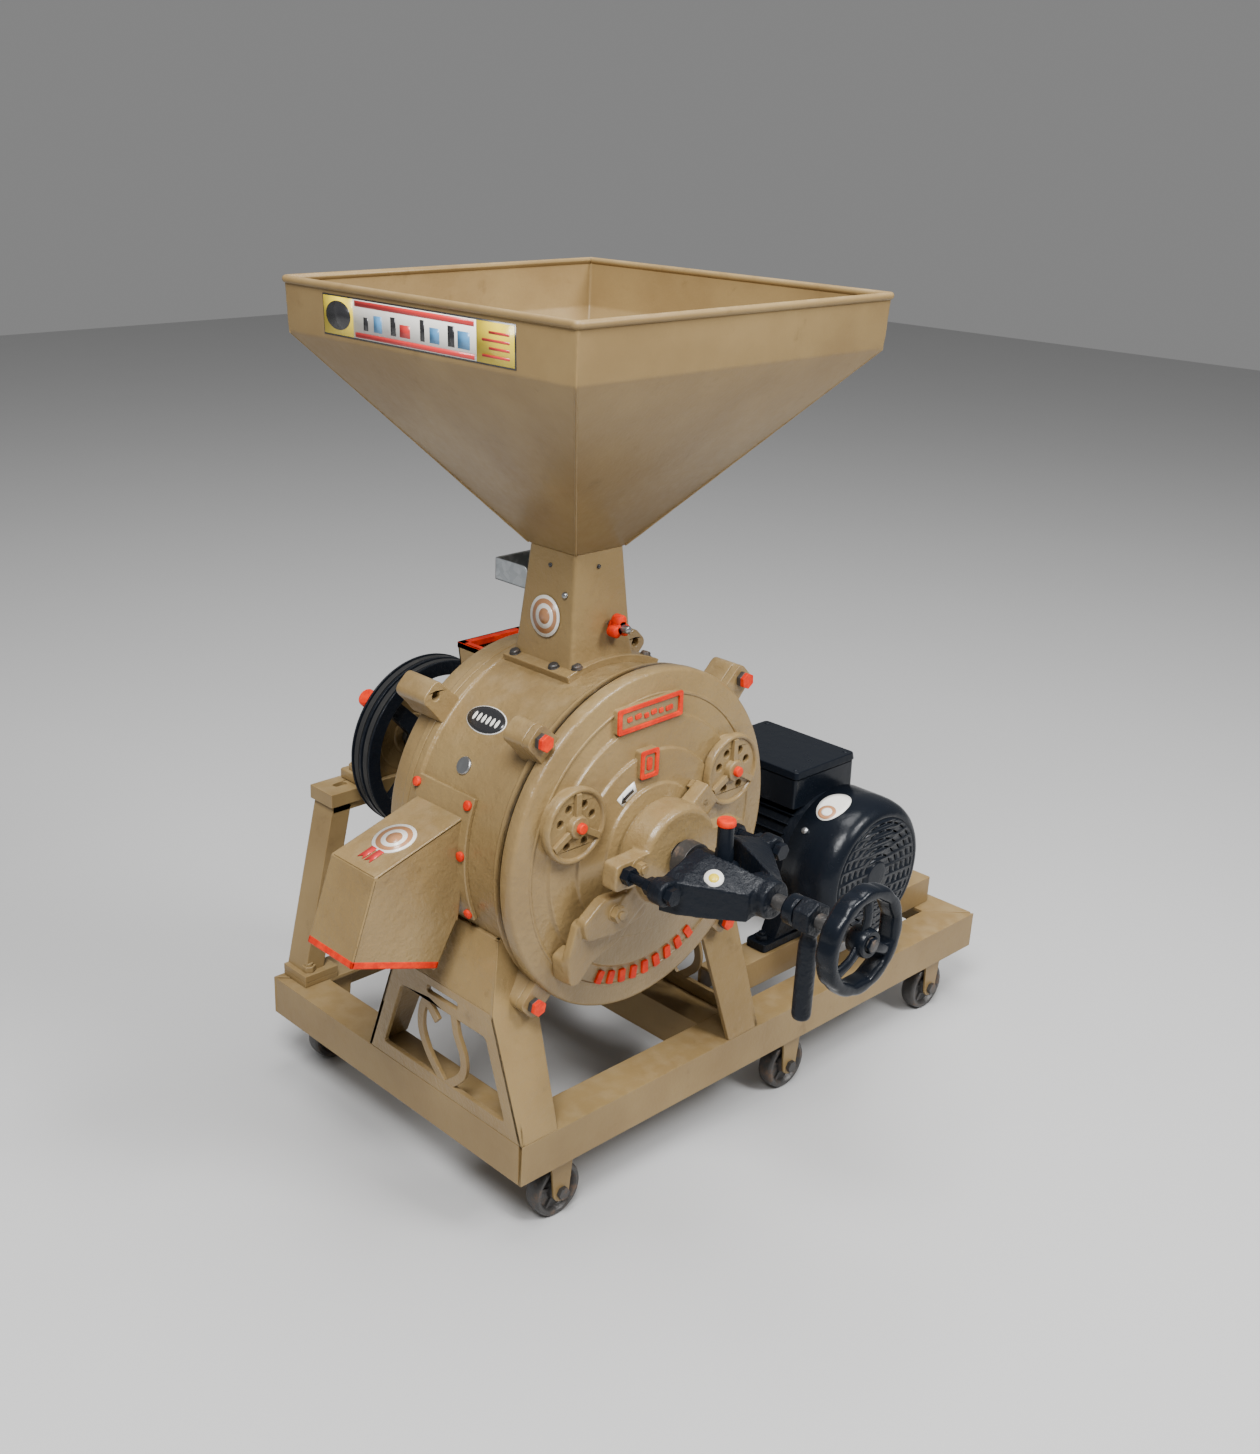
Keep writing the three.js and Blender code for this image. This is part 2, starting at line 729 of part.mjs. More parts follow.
// Cast bridge over the shaft: bearing hub, ear each side for the yoke's studs, two legs to the door.
function bearingBridge() {
  const back = doorFront - 24 - fit;
  const seat = frontBearingRadius + fit;
  const bore = shaftRadius + 4;
  const hub = turned(
    [
      [bore, back], [hubRadius, back], [hubRadius, hubFront + 6], [hubRadius - 6, hubFront], [bore, hubFront],
    ],
    20,
  );
  const arms = [-1, 1].map((side) =>
    plateXZ(
      [
        [side * 20, -18], [side * 20, 26], [side * (earSpan - 16), earZ + 18],
        [side * (earSpan + 16), earZ + 16], [side * (earSpan + 18), earZ - 22], [side * (earSpan - 14), earZ - 24],
      ],
      hubFront, hubFront + 26,
    ),
  );
  const legs = [
    [footAngle, lowerLegReach, doorRadius * 0.77, doorFront],
    [footAngle + 180, upperLegReach, doorRadius * 0.375, doorFront - 12],
  ].map(([angle, reach, shoeFrom, seatY]) => {
    const [ux, uz] = onCircle(1, angle);
    const point = (r, t) => [r * ux - t * uz, r * uz + t * ux];
    const beam = plateXZ(
      [point(30, -24), point(Math.min(reach, 150), -19), point(Math.min(reach, 150), 19), point(30, 24)],
      hubFront + 22, back,
    );
    const foot = plateXZ([point(60, -24), point(reach, -16), point(reach, 16), point(60, 24)], back - 8, back);
    const shoe = plateXZ(
      [point(shoeFrom, -15), point(reach, -15), point(reach, 15), point(shoeFrom, 15)],
      back - 1, seatY - fit,
    );
    return join(beam, foot, shoe);
  });
  const hollow = bar(seat, hubFront + 8, back - 10, 20);
  const through = bar(bore, hubFront - 1, back + 1, 20);
  const studHoles = [-1, 1].map((side) =>
    rod(studRadius + fit, hubFront - 1, hubFront + 27, side * earSpan, earZ, 12),
  );
  return cut(join(hub, ...arms, ...legs), hollow, through, ...studHoles);
}

// Cage for the thrust bearing on the shaft's front end, with its grease cup.
function thrustHousing() {
  const back = hubFront - 26;
  const front = shaftFront - 10;
  const cage = turned(
    [
      [shaftRadius + running - 3, back], [thrustRadius, back], [thrustRadius, front + 4], [thrustRadius - 4, front],
      [0, front], [0, shaftFront - 1], [shaftRadius - 4 + running, shaftFront - 1],
    ],
    24,
  );
  const cupY = front + 15;
  return join(cage, post(13, thrustRadius - 8, thrustRadius + 58, 0, cupY));
}

// Yoke: two arms with a raised inner ridge, meeting in a threaded nose.
function yoke() {
  const root = yokeBackY;
  const tip = yokeNoseY + 18;
  const section = (side, inner, ridge, outer, top, bottom) => [
    [side * inner, ridge], [side * outer, top], [side * outer, bottom], [side * inner, -ridge * 0.75],
  ];
  const arms = [-1, 1].map((side) =>
    loftY(section(side, thrustRadius + 6, 46, earSpan - 8, earZ + 13, earZ - 34), root, section(side, 8, 30, 36, 12, -28), tip),
  );
  const bosses = [-1, 1].map((side) => rod(17, root - 24, root, side * earSpan, earZ, 16));
  const nose = turned(
    [
      [0, tip + 22], [26, tip + 22], [27, tip], [24, yokeNoseY], [0, yokeNoseY],
    ],
    20,
  );
  const room = bar(thrustRadius + 2, shaftFront - 24, root + 1, 20);
  const studHoles = [-1, 1].map((side) =>
    rod(studRadius + fit, root - 26, root + 1, side * earSpan, earZ, 12),
  );
  return cut(join(...arms, ...bosses, nose), room, bar(screwRadius + fit, yokeNoseY - 1, tip + 24, 20), ...studHoles);
}

// Stud with a nut on the bridge's side and a head in front of the yoke.
function yokeStud() {
  const head = yokeBackY - 24 - fit;
  const nutFront = hubFront - 14;
  return turned(
    [
      [0, head - 11], [13, head - 11], [13, head], [studRadius, head], [studRadius, nutFront],
      [14, nutFront], [14, hubFront - fit], [studRadius, hubFront - fit], [studRadius, hubFront + 24], [0, hubFront + 24],
    ],
    12,
  );
}

function adjustingScrew() {
  const back = shaftFront - 10 - fit;
  return turned(
    [
      [0, back], [screwRadius, back], [screwRadius, handwheelY - 14], [screwRadius - 3, handwheelY - 17],
      [0, handwheelY - 17],
    ],
    20,
  );
}

function lockLever() {
  const bore = screwRadius + running;
  const grip = post(leverRadius, -leverLength, -18, 0, leverY, 16);
  return cut(join(bar(24, leverY - 13, leverY + 13, 6), grip), bar(bore, leverY - 20, leverY + 20, 20));
}

function handwheel() {
  const rim = turned(
    arc(1, 0, 300, 5).map(([r, y]) => [
      handwheelRadius + handwheelRim * (r - 1), handwheelY + 6 + handwheelRimDepth * y,
    ]),
    24,
  );
  const hub = tube(19, screwRadius + fit, handwheelY - 13, handwheelY + 15, 20);
  const spokes = [90, 210, 330].map((angle) => {
    const [x0, z0] = onCircle(16, angle);
    const [x1, z1] = onCircle(handwheelRadius - handwheelRim - 4, angle);
    const [wx, wz] = onCircle(9, angle + 90);
    return plateXZ(
      [[x0 - wx, z0 - wz], [x1 - wx, z1 - wz], [x1 + wx, z1 + wz], [x0 + wx, z0 + wz]],
      handwheelY - 6, handwheelY + 6,
    );
  });
  return join(rim, hub, ...spokes);
}

// ---- Belt drive ----

// Rim profile with two belt grooves, from the back edge to the front edge at the rim's own radius.
function groovedRim(radius) {
  const corners = [[radius, pulleyY + pulleyWidth / 2]];
  for (const y of [pulleyY + groovePitch / 2, pulleyY - groovePitch / 2]) {
    corners.push(
      [radius, y + grooveWidth / 2], [radius - grooveDepth, y + beltWidth / 2 + 1],
      [radius - grooveDepth, y - beltWidth / 2 - 1], [radius, y - grooveWidth / 2],
    );
  }
  corners.push([radius, pulleyY - pulleyWidth / 2]);
  return corners;
}

function millPulley() {
  const front = pulleyY - pulleyWidth / 2;
  const back = pulleyY + pulleyWidth / 2;
  const inner = pulleyRadius - grooveDepth - 10;
  const rim = turned([...groovedRim(pulleyRadius), [inner, front], [inner, back]], 28);
  const hub = tube(36, shaftRadius + fit, front - 4, back, 16);
  const spokes = [45, 135, 225, 315].map((angle) => {
    const [x, z] = onCircle(inner + 4, angle);
    const [wx, wz] = onCircle(13, angle + 90);
    const [hx, hz] = onCircle(26, angle);
    return plateXZ(
      [[hx - wx, hz - wz], [x - wx, z - wz], [x + wx, z + wz], [hx + wx, hz + wz]],
      pulleyY - 7, pulleyY + 7,
    );
  });
  return join(rim, hub, ...spokes);
}

const motorPulley = () =>
  turned(
    [
      ...groovedRim(motorPulleyRadius),
      [motorShaftRadius + fit, pulleyY - pulleyWidth / 2],
      [motorShaftRadius + fit, pulleyY + pulleyWidth / 2],
    ],
    16,
  );

// Loop round both pulleys at the given depth under their rims, from the shaft axis.
function beltLoop(depth) {
  const reach = motorX - millX;
  const drop = motorShaftHeight - shaftHeight;
  const run = Math.hypot(reach, drop);
  const heading = THREE.MathUtils.radToDeg(Math.atan2(drop, reach));
  const wrap = THREE.MathUtils.radToDeg(Math.acos((pulleyRadius - motorPulleyRadius) / run));
  const big = arc(pulleyRadius - depth, heading + wrap, heading + 360 - wrap, 20);
  const small = arc(motorPulleyRadius - depth, heading - wrap, heading + wrap, 10);
  return [...big, ...small.map(([x, z]) => [x + reach, z + drop])];
}

const belt = (y) =>
  cut(
    plateXZ(beltLoop(beltSink), y - beltWidth / 2, y + beltWidth / 2),
    plateXZ(beltLoop(beltSink + beltThickness), y - beltWidth, y + beltWidth),
  );

// ---- Rear pedestal and bearing ----

function rearPedestal() {
  const foot = -shaftHeight + fit;
  const top = -shaftHeight + pedestalHeight;
  const y0 = pedestalY - pedestalDepth / 2;
  const y1 = pedestalY + pedestalDepth / 2;
  const plateFoot = top - 22;
  const inset = ((pedestalFootHalf - pedestalTopHalf) * 22) / pedestalHeight;
  const outer = [
    [-pedestalFootHalf, foot], [-pedestalTopHalf - inset, plateFoot], [pedestalTopHalf + inset, plateFoot],
    [pedestalFootHalf, foot],
  ];
  const inner = [
    [-pedestalFootHalf + pedestalWall, foot - 1], [-pedestalTopHalf - inset + pedestalWall, plateFoot - 14],
    [pedestalTopHalf + inset - pedestalWall, plateFoot - 14], [pedestalFootHalf - pedestalWall, foot - 1],
  ];
  const cap = block(-pedestalTopHalf - 12, pedestalTopHalf + 12, y0 - 6, y1 + 3, plateFoot - 1, top);
  const feet = [-1, 1].map((side) => {
    const a = side * (pedestalFootHalf - 60);
    const b = side * (pedestalFootHalf + 4);
    return block(Math.min(a, b), Math.max(a, b), y0 - 12, y1, foot, foot + 20);
  });
  const slots = [-1, 1].map((side) =>
    block(side * 128 - 12, side * 128 + 12, pedestalY - 6, pedestalY + 6, top - 60, top + 1),
  );
  return cut(join(cut(plateXZ(outer, y0, y1), plateXZ(inner, y0 - 1, y1 + 1)), cap, ...feet), ...slots);
}

function plummerBlock() {
  const foot = -shaftHeight + pedestalHeight + fit;
  const y0 = pedestalY - 22;
  const y1 = pedestalY + 22;
  const body = join(
    bar(plummerRadius, y0, y1, 24),
    block(-plummerRadius - 12, plummerRadius + 12, y0, y1, foot, 6),
    block(-112, 112, y0 + 2, y1 - 2, foot, foot + 17),
  );
  const neck = new THREE.CylinderGeometry(9, 9, 40, 10);
  const cap = new THREE.CylinderGeometry(14, 14, 12, 12);
  neck.translate(0, plummerRadius + 16, 0);
  cap.translate(0, plummerRadius + 41, 0);
  const cup = [neck, cap].map((piece) => {
    piece.rotateX(Math.PI / 2);
    piece.rotateY(-Math.PI / 4);
    piece.translate(0, pedestalY, 0);
    return solidOf(piece);
  });
  return cut(
    join(body, ...cup),
    block(-plummerRadius, plummerRadius, y0 - 1, y1 + 1, foot - plummerRadius, foot),
    bar(rearBearingRadius + fit, y0 + 8, y1 - 8, 20),
    bar(shaftRadius + running, y0 - 1, y1 + 1, 16),
  );
}

// ---- Feed and discharge ----

function hopper() {
  const bandFoot = hopperTopZ - hopperBand;
  const foot = neckTopZ + fit;
  const outer = join(
    tapered(rectangle(neckTopHalf + 1, hopperY), rectangle(hopperHalf - 4, hopperY), foot, bandFoot),
    tapered(rectangle(hopperHalf - 4, hopperY), rectangle(hopperHalf, hopperY), bandFoot - 0.5, hopperTopZ),
    tapered(
      rectangle(hopperHalf + rimBead, hopperY), rectangle(hopperHalf + rimBead, hopperY),
      hopperTopZ - 2 * rimBead, hopperTopZ,
    ),
  );
  const w = hopperWall;
  const hollow = join(
    tapered(
      rectangle(neckTopHalf + 1 - w, hopperY), rectangle(hopperHalf - 4 - w, hopperY), foot - 0.1, bandFoot,
    ),
    tapered(rectangle(hopperHalf - 4 - w, hopperY), rectangle(hopperHalf - w, hopperY), bandFoot - 0.5, hopperTopZ + 1),
  );
  const mouth = tapered(
    rectangle(neckTopHalf - w, hopperY), rectangle(neckTopHalf - w, hopperY), foot - 5, foot + 5,
  );
  return cut(outer, hollow, mouth);
}

function feedNeck() {
  const foot = barrelRadius - 20;
  const spout = tapered(rectangle(neckFootHalf + 4, hopperY), rectangle(neckTopHalf, hopperY), foot, neckTopZ);
  const [right, left] = [neckFlangeRight, -neckFlangeLeft].map((x) =>
    THREE.MathUtils.radToDeg(Math.acos(x / (barrelRadius + 10))),
  );
  const saddle = ringSector(
    barrelRadius + 10, barrelRadius - 2, right, left, neckFlangeFront, seamY - 14 - fit, 12,
  );
  const throat = tapered(
    rectangle(neckFootHalf - neckWall, hopperY), rectangle(neckTopHalf - neckWall, hopperY), foot - 1, neckTopZ + 1,
  );
  const slot = block(-gateWidth / 2 - fit, gateWidth / 2 + fit, hopperY, hopperY + 90, gateZ - fit, gateZ + 3 + fit);
  const drum = bar(barrelRadius + fit, 0, 400, casingSides);
  const screwHole = rod(6 + fit, hopperY - 80, hopperY - 30, knobX, knobZ, 12);
  return cut(join(spout, saddle), throat, slot, drum, screwHole);
}

// Galvanised slide: a flat blade in the neck and an upturned tray behind it to pull.
function feedGate() {
  const half = gateWidth / 2;
  const bladeFront = hopperY - neckTopHalf + neckWall + 3;
  const trayFront = hopperY + neckFootHalf + 2;
  const trayBack = trayFront + gateReach;
  return join(
    block(-half, half, bladeFront, trayBack, gateZ, gateZ + 3),
    block(-half, -half + 3, trayFront, trayBack, gateZ, gateZ + gateHeight),
    block(half - 3, half, trayFront, trayBack, gateZ, gateZ + gateHeight),
    block(-half, half, trayBack - 3, trayBack, gateZ, gateZ + gateHeight),
  );
}

// Three-lobed knob on a steel screw through the neck's front wall.
function feedKnob() {
  const face = hopperY - neckFootHalf - 8;
  const lobes = [90, 210, 330].map((angle) => {
    const [x, z] = onCircle(9, angle);
    return rod(8, face - 16, face, x, z, 14);
  });
  return join(...lobes, bar(6, face - 28, face + 26, 12));
}

function dischargeSpout() {
  const y0 = spoutFront;
  const y1 = spoutFront + spoutDepth;
  const head = [-barrelRadius + 14, spoutHeadZ];
  const brow = [spoutTipX, spoutHeadZ - 48];
  const lipOuter = [spoutTipX - 42, spoutHeadZ - 168];
  const lipInner = [spoutTipX + 103, spoutHeadZ - 219];
  const root = [-barrelRadius - 4, spoutFootZ];
  const profile = [head, brow, lipOuter, lipInner, root, [-barrelRadius + 16, spoutFootZ + 20]];
  const w = spoutWall;
  const hollow = [
    [head[0] + 30, head[1] + 2 - w], [brow[0] + w, brow[1] - w * 1.2], [lipOuter[0] + w * 1.1, lipOuter[1] - 2],
    [lipOuter[0] + w * 0.5, lipOuter[1] - 24], [lipInner[0] - w * 1.4, lipInner[1] - 24],
    [lipInner[0] - w * 1.2, lipInner[1]], [root[0] - w, root[1] + w * 1.2], [root[0] + 60, root[1] + 34],
  ];
  const flange = ringSector(barrelRadius + 7, barrelRadius - 2, 158, 203, y0 - 15, y1 + 6, 8);
  const drum = bar(barrelRadius + fit, 0, 400, casingSides);
  const body = cut(join(plateXZ(profile, y0, y1), flange), plateXZ(hollow, y0 + w, y1 - w), drum);
  return body;
}

// ---- Motor (origin on the motor's axis) ----

function motorBody() {
  const barrel = turned(
    [
      [0, motorFront], [motorRadius - 8, motorFront], [motorRadius, motorFront + 8],
      [motorRadius, motorBack - 30], [motorRadius - 10, motorBack - 8], [60, motorBack], [40, motorBack + 12],
      [0, motorBack + 12],
    ],
    motorSides,
  );
  const sole = motorRailHeight - motorShaftHeight + fit;
  const feet = [footFrontY, footRearY].map((y) =>
    join(
      block(-footHalf, footHalf, y - 20, y + 20, sole, sole + footHeight),
      tapered(
        [-footHalf + 26, footHalf - 26, y - 16, y + 16], [-80, 80, y - 16, y + 16], sole + 4, -motorRadius + 50,
      ),
    ),
  );
  return cut(join(barrel, ...feet), bar(motorShaftRadius + running, motorFront - 1, motorBack + 13, 20));
}

function fanCover() {
  const back = motorFront - fit;
  const wall = 3;
  const cowl = turned(
    [
      [0, cowlFront], [cowlRadius - 22, cowlFront], [cowlRadius - 6, cowlFront + 10], [cowlRadius, cowlFront + 30],
      [cowlRadius, back], [cowlRadius - wall, back], [cowlRadius - wall, cowlFront + 31],
      [cowlRadius - 9, cowlFront + 13], [cowlRadius - 24, cowlFront + wall], [0, cowlFront + wall],
    ],
    24,
  );
  const slots = [];
  for (let angle = 0; angle < 360; angle += 45) {
    const [x0, z0] = onCircle(38, angle);
    const [x1, z1] = onCircle(84, angle);
    const [wx, wz] = onCircle(5, angle + 90);
    slots.push(
      plateXZ(
        [[x0 - wx, z0 - wz], [x1 - wx, z1 - wz], [x1 + wx, z1 + wz], [x0 + wx, z0 + wz]],
        cowlFront - 1, cowlFront + 4,
      ),
    );
  }
  return cut(cowl, ...slots);
}

function motorRotor() {
  const fan = turned(
    [[0, 22], [cowlRadius - 26, 22], [cowlRadius - 26, 46], [30, 46], [30, 52], [0, 52]],
    24,
  );
  return join(bar(motorShaftRadius, 10, pulleyY + pulleyWidth / 2 + 4, 20), fan);
}

function terminalBox() {
  const top = terminalTop;
  const box = join(
    tapered([-78, 74, 100, 292], [-76, 72, 102, 290], 60, top),
    solidOf(new THREE.CylinderGeometry(11, 11, 22, 14).rotateZ(Math.PI / 2).translate(80, 250, top - 24)),
  );
  return cut(box, bar(motorRadius + fit, 0, 500, motorSides));
}

// ---- Assembly ----

baseRails();
baseCrossMember();
motorRails();
casters();

const onDrive = (name, solid, finish) => add(drivetrain, name, solid, finish);
onDrive("stand_left", standSide(-1), "enamel");
onDrive("stand_right", standSide(1), "enamel");
onDrive("front_shell", frontShell(), "enamel");
onDrive("rear_shell", rearShell(), "enamel");
onDrive("front_door", frontDoor(), "enamel");
lugAngles.forEach((angle, i) => {
  const [x, z] = onCircle(lugCircle, angle);
  add(drivetrain, "door_bolt_" + (i + 1), doorBolt(), "red", [x, 0, z]);
});
add(drivetrain, "stone_clamp_left", stoneClamp(), "enamel", [-clampX, 0, clampZ]);
add(drivetrain, "stone_clamp_right", stoneClamp(), "enamel", [clampX, 0, clampZ]);
onDrive("air_inlet", airInlet(), "enamel");
onDrive("bed_stone", stoneDisc(bedFront, bedBack), "stone");
onDrive("runner_stone", stoneDisc(runnerFront, runnerBack), "stone");
onDrive(
  "runner_plate",
  tube(stoneRadius - 12, shaftRadius + fit, runnerBack + fit, runnerBack + fit + backPlate, 28),
  "iron",
);
onDrive("main_shaft", mainShaft(), "steel");
onDrive("front_bearing", ballBearing(frontBearingRadius, hubFront + 8 + fit, hubFront + 34), "steel");
onDrive("rear_bearing", ballBearing(rearBearingRadius, pedestalY - 13, pedestalY + 13), "steel");
onDrive("bearing_bridge", bearingBridge(), "enamel");
onDrive("thrust_housing", thrustHousing(), "black");
onDrive("yoke", yoke(), "black");
add(drivetrain, "yoke_stud_left", yokeStud(), "black", [-earSpan, 0, earZ]);
add(drivetrain, "yoke_stud_right", yokeStud(), "black", [earSpan, 0, earZ]);
onDrive("adjusting_screw", adjustingScrew(), "black");
onDrive("lock_lever", lockLever(), "black");
onDrive("handwheel", handwheel(), "black");
onDrive("mill_pulley", millPulley(), "black");
onDrive("v_belt_front", belt(pulleyY - groovePitch / 2), "rubber");
onDrive("v_belt_rear", belt(pulleyY + groovePitch / 2), "rubber");
onDrive("rear_pedestal", rearPedestal(), "enamel");
onDrive("rear_bearing_housing", plummerBlock(), "enamel");
onDrive("hopper", hopper(), "enamel");
onDrive("feed_neck", feedNeck(), "enamel");
onDrive("feed_gate", feedGate(), "zinc");
add(drivetrain, "feed_knob", feedKnob(), "red", [knobX, 0, knobZ]);
onDrive("discharge_spout", dischargeSpout(), "enamel");

add(motor, "motor_body", motorBody(), "black");
add(motor, "fan_cover", fanCover(), "black");
add(motor, "motor_rotor", motorRotor(), "steel");
add(motor, "motor_pulley", motorPulley(), "black");
add(motor, "terminal_box", terminalBox(), "black");

// The origin goes to the middle of the floor under the whole machine.
const whole = new THREE.Box3().setFromObject(mill);
const middle = whole.getCenter(new THREE.Vector3());
mill.position.set(-middle.x, -middle.y, -whole.min.z);

export default mill;
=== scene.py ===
# Stone flour mill with grain hopper, bolted casing, stone adjusting gear, belt drive and motor.
import math

import bmesh
import bpy
from mathutils import Matrix, Vector, noise
from mathutils.geometry import tessellate_polygon


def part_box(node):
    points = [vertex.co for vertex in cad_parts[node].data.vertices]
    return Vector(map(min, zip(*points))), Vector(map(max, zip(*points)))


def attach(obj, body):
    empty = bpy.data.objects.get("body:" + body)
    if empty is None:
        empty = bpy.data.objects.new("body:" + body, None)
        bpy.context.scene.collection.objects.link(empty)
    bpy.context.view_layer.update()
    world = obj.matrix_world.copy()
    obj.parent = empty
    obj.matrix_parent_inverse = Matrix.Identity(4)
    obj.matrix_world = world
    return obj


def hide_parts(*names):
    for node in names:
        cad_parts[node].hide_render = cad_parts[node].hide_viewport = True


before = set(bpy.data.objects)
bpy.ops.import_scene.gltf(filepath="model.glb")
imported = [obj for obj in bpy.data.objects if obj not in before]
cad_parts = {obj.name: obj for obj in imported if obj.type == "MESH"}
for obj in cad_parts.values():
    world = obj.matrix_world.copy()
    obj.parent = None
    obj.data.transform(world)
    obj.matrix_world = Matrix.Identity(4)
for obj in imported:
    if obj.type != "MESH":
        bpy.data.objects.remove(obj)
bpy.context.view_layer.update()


# ---- Camera ----


def set_camera(place, heading, pitch, roll, lens, shift):
    """Camera at a place, looking along a heading from +Y towards +X and down by pitch, in degrees."""
    heading, pitch, roll = (math.radians(a) for a in (heading, pitch, roll))
    forward = Vector(
        (math.sin(heading) * math.cos(pitch), math.cos(heading) * math.cos(pitch), -math.sin(pitch))
    )
    level = Vector((math.cos(heading), -math.sin(heading), 0))
    upright = level.cross(forward)
    right = level * math.cos(roll) + upright * math.sin(roll)
    up = upright * math.cos(roll) - level * math.sin(roll)
    data = bpy.data.cameras.new("camera")
    data.lens = lens
    data.sensor_width = 36
    data.shift_x, data.shift_y = shift
    camera = bpy.data.objects.new("camera", data)
    bpy.context.scene.collection.objects.link(camera)
    camera.matrix_world = Matrix.Translation(place) @ Matrix((right, up, -forward)).transposed().to_4x4()
    bpy.context.scene.camera = camera


set_camera(
    place=(-1.7049, -1.4828, 1.4996), heading=42.42, pitch=21.76, roll=1.38,
    lens=39.72, shift=(0.0697, 0.0135),
)


# ---- Places taken from the frame ----


def middle(node):
    low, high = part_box(node)
    return (Vector(low) + Vector(high)) / 2


def low(node):
    return Vector(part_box(node)[0])


def high(node):
    return Vector(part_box(node)[1])


SHAFT = middle("main_shaft")
FRONT = low("base_rail_front").y  # the base's front face, y = 0 for every drawing below
AXIS = Vector((SHAFT.x, FRONT, SHAFT.z))
MOTOR = Vector((middle("motor_rotor").x, FRONT, middle("motor_rotor").z))
BASE = Vector((low("base_rail_front").x, FRONT, high("base_rail_front").z))


# ---- Shader maths ----


class Value:
    """A shader socket that takes part in ordinary arithmetic."""

    def __init__(self, finish, socket):
        self.finish = finish
        self.socket = socket

    def math(self, operation, *others):
        inputs = {i: other for i, other in enumerate((self, *others))}
        return self.finish.node("ShaderNodeMath", {"operation": operation}, inputs)

    def reversed_math(self, operation, other):
        return self.finish.node("ShaderNodeMath", {"operation": operation}, {0: other, 1: self})

    def __add__(self, other):
        return self.math("ADD", other)

    __radd__ = __add__

    def __sub__(self, other):
        return self.math("SUBTRACT", other)

    def __rsub__(self, other):
        return self.reversed_math("SUBTRACT", other)

    def __mul__(self, other):
        return self.math("MULTIPLY", other)

    __rmul__ = __mul__

    def steps(self, start, end):
        """0 below start, 1 above end, smooth between."""
        settings = {"interpolation_type": "SMOOTHSTEP"}
        return self.finish.node(
            "ShaderNodeMapRange", settings, {"Value": self, "From Min": start, "From Max": end}
        )


class Finish:
    """A material on one principled shader, with its texture nodes."""

    def __init__(self, name, colour, roughness, metallic=0.0, coat=0.0):
        self.material = bpy.data.materials.new(name)
        self.material.use_nodes = True
        self.tree = self.material.node_tree
        self.shader = self.tree.nodes["Principled BSDF"]
        self.set("Base Color", (*colour, 1))
        self.set("Roughness", roughness)
        self.set("Metallic", metallic)
        if coat:
            self.set("Coat Weight", coat)
            self.set("Coat Roughness", 0.12)
        self.material.diffuse_color = (*colour, 1)
        self.place = self.node("ShaderNodeTexCoord", {}, {}, "Object")

    def node(self, kind, settings, inputs, output=0):
        made = self.tree.nodes.new(kind)
        for name, value in settings.items():
            setattr(made, name, value)
        for name, value in inputs.items():
            self.feed(made.inputs[name], value)
        return Value(self, made.outputs[output])

    def feed(self, socket, value):
        if isinstance(value, Value):
            self.tree.links.new(value.socket, socket)
        elif hasattr(socket.default_value, "__len__") and len(value) == 3 and len(socket.default_value) == 4:
            socket.default_value = (*value, 1)
        else:
            socket.default_value = value

    def set(self, name, value):
        self.feed(self.shader.inputs[name], value)

    def noise(self, scale, detail=3.0, roughness=0.55, place=None):
        inputs = {"Vector": place or self.place, "Scale": scale, "Detail": detail, "Roughness": roughness}
        return self.node("ShaderNodeTexNoise", {}, inputs)

    def cells(self, scale, feature="F1", output=0):
        return self.node(
            "ShaderNodeTexVoronoi", {"feature": feature}, {"Vector": self.place, "Scale": scale}, output
        )

    def stretched(self, x, y, z):
        return self.node("ShaderNodeVectorMath", {"operation": "MULTIPLY"}, {0: self.place, 1: (x, y, z)})

    def blend(self, factor, first, second):
        """Colour that goes from the first to the second as factor rises."""
        return self.node("ShaderNodeMix", {"data_type": "RGBA"}, {0: factor, 6: first, 7: second}, 2)

    def bump(self, height, distance, strength=1.0, below=None):
        inputs = {"Height": height, "Distance": distance, "Strength": strength}
        if below:
            inputs["Normal"] = below
        return self.node("ShaderNodeBump", {}, inputs)

    def upward(self):
        """1 on faces that look up, where dust settles."""
        normal = self.node("ShaderNodeNewGeometry", {}, {}, "Normal")
        return self.node("ShaderNodeSeparateXYZ", {}, {0: normal}, "Z").steps(0.35, 0.95)


# ---- Finishes ----

TAN = (0.25, 0.168, 0.07)
TAN_LIGHT = (0.3, 0.208, 0.09)
TAN_DARK = (0.17, 0.105, 0.042)


def tan_enamel(name, ripple, rough, grain, coat):
    """Khaki gold enamel; ripple is its orange peel and grain the casting or sheet below, in metres."""
    paint = Finish(name, TAN, 0.34, 0.0, coat)
    paint.set("Specular IOR Level", 0.34)
    clouds = paint.noise(7, 4)
    spots = paint.noise(90, 3)
    base = paint.blend(clouds.steps(0.3, 0.72), TAN_DARK, TAN_LIGHT)
    base = paint.blend(0.62, base, TAN)
    dirt = paint.noise(23, 5, 0.7).steps(0.58, 0.8) * 0.45
    base = paint.blend(dirt, base, (0.11, 0.065, 0.024))
    dust = paint.upward() * paint.noise(40, 4).steps(0.35, 0.75) * 0.22
    base = paint.blend(dust, base, (0.4, 0.31, 0.19))
    paint.set("Base Color", base)
    paint.set("Roughness", rough + spots * 0.16 + dust * 0.5 - clouds * 0.08)
    cast = paint.bump(paint.noise(grain, 4, 0.6), ripple, 0.9)
    paint.set("Normal", paint.bump(paint.noise(210, 2), ripple * 0.25, 0.6, cast))
    return paint.material


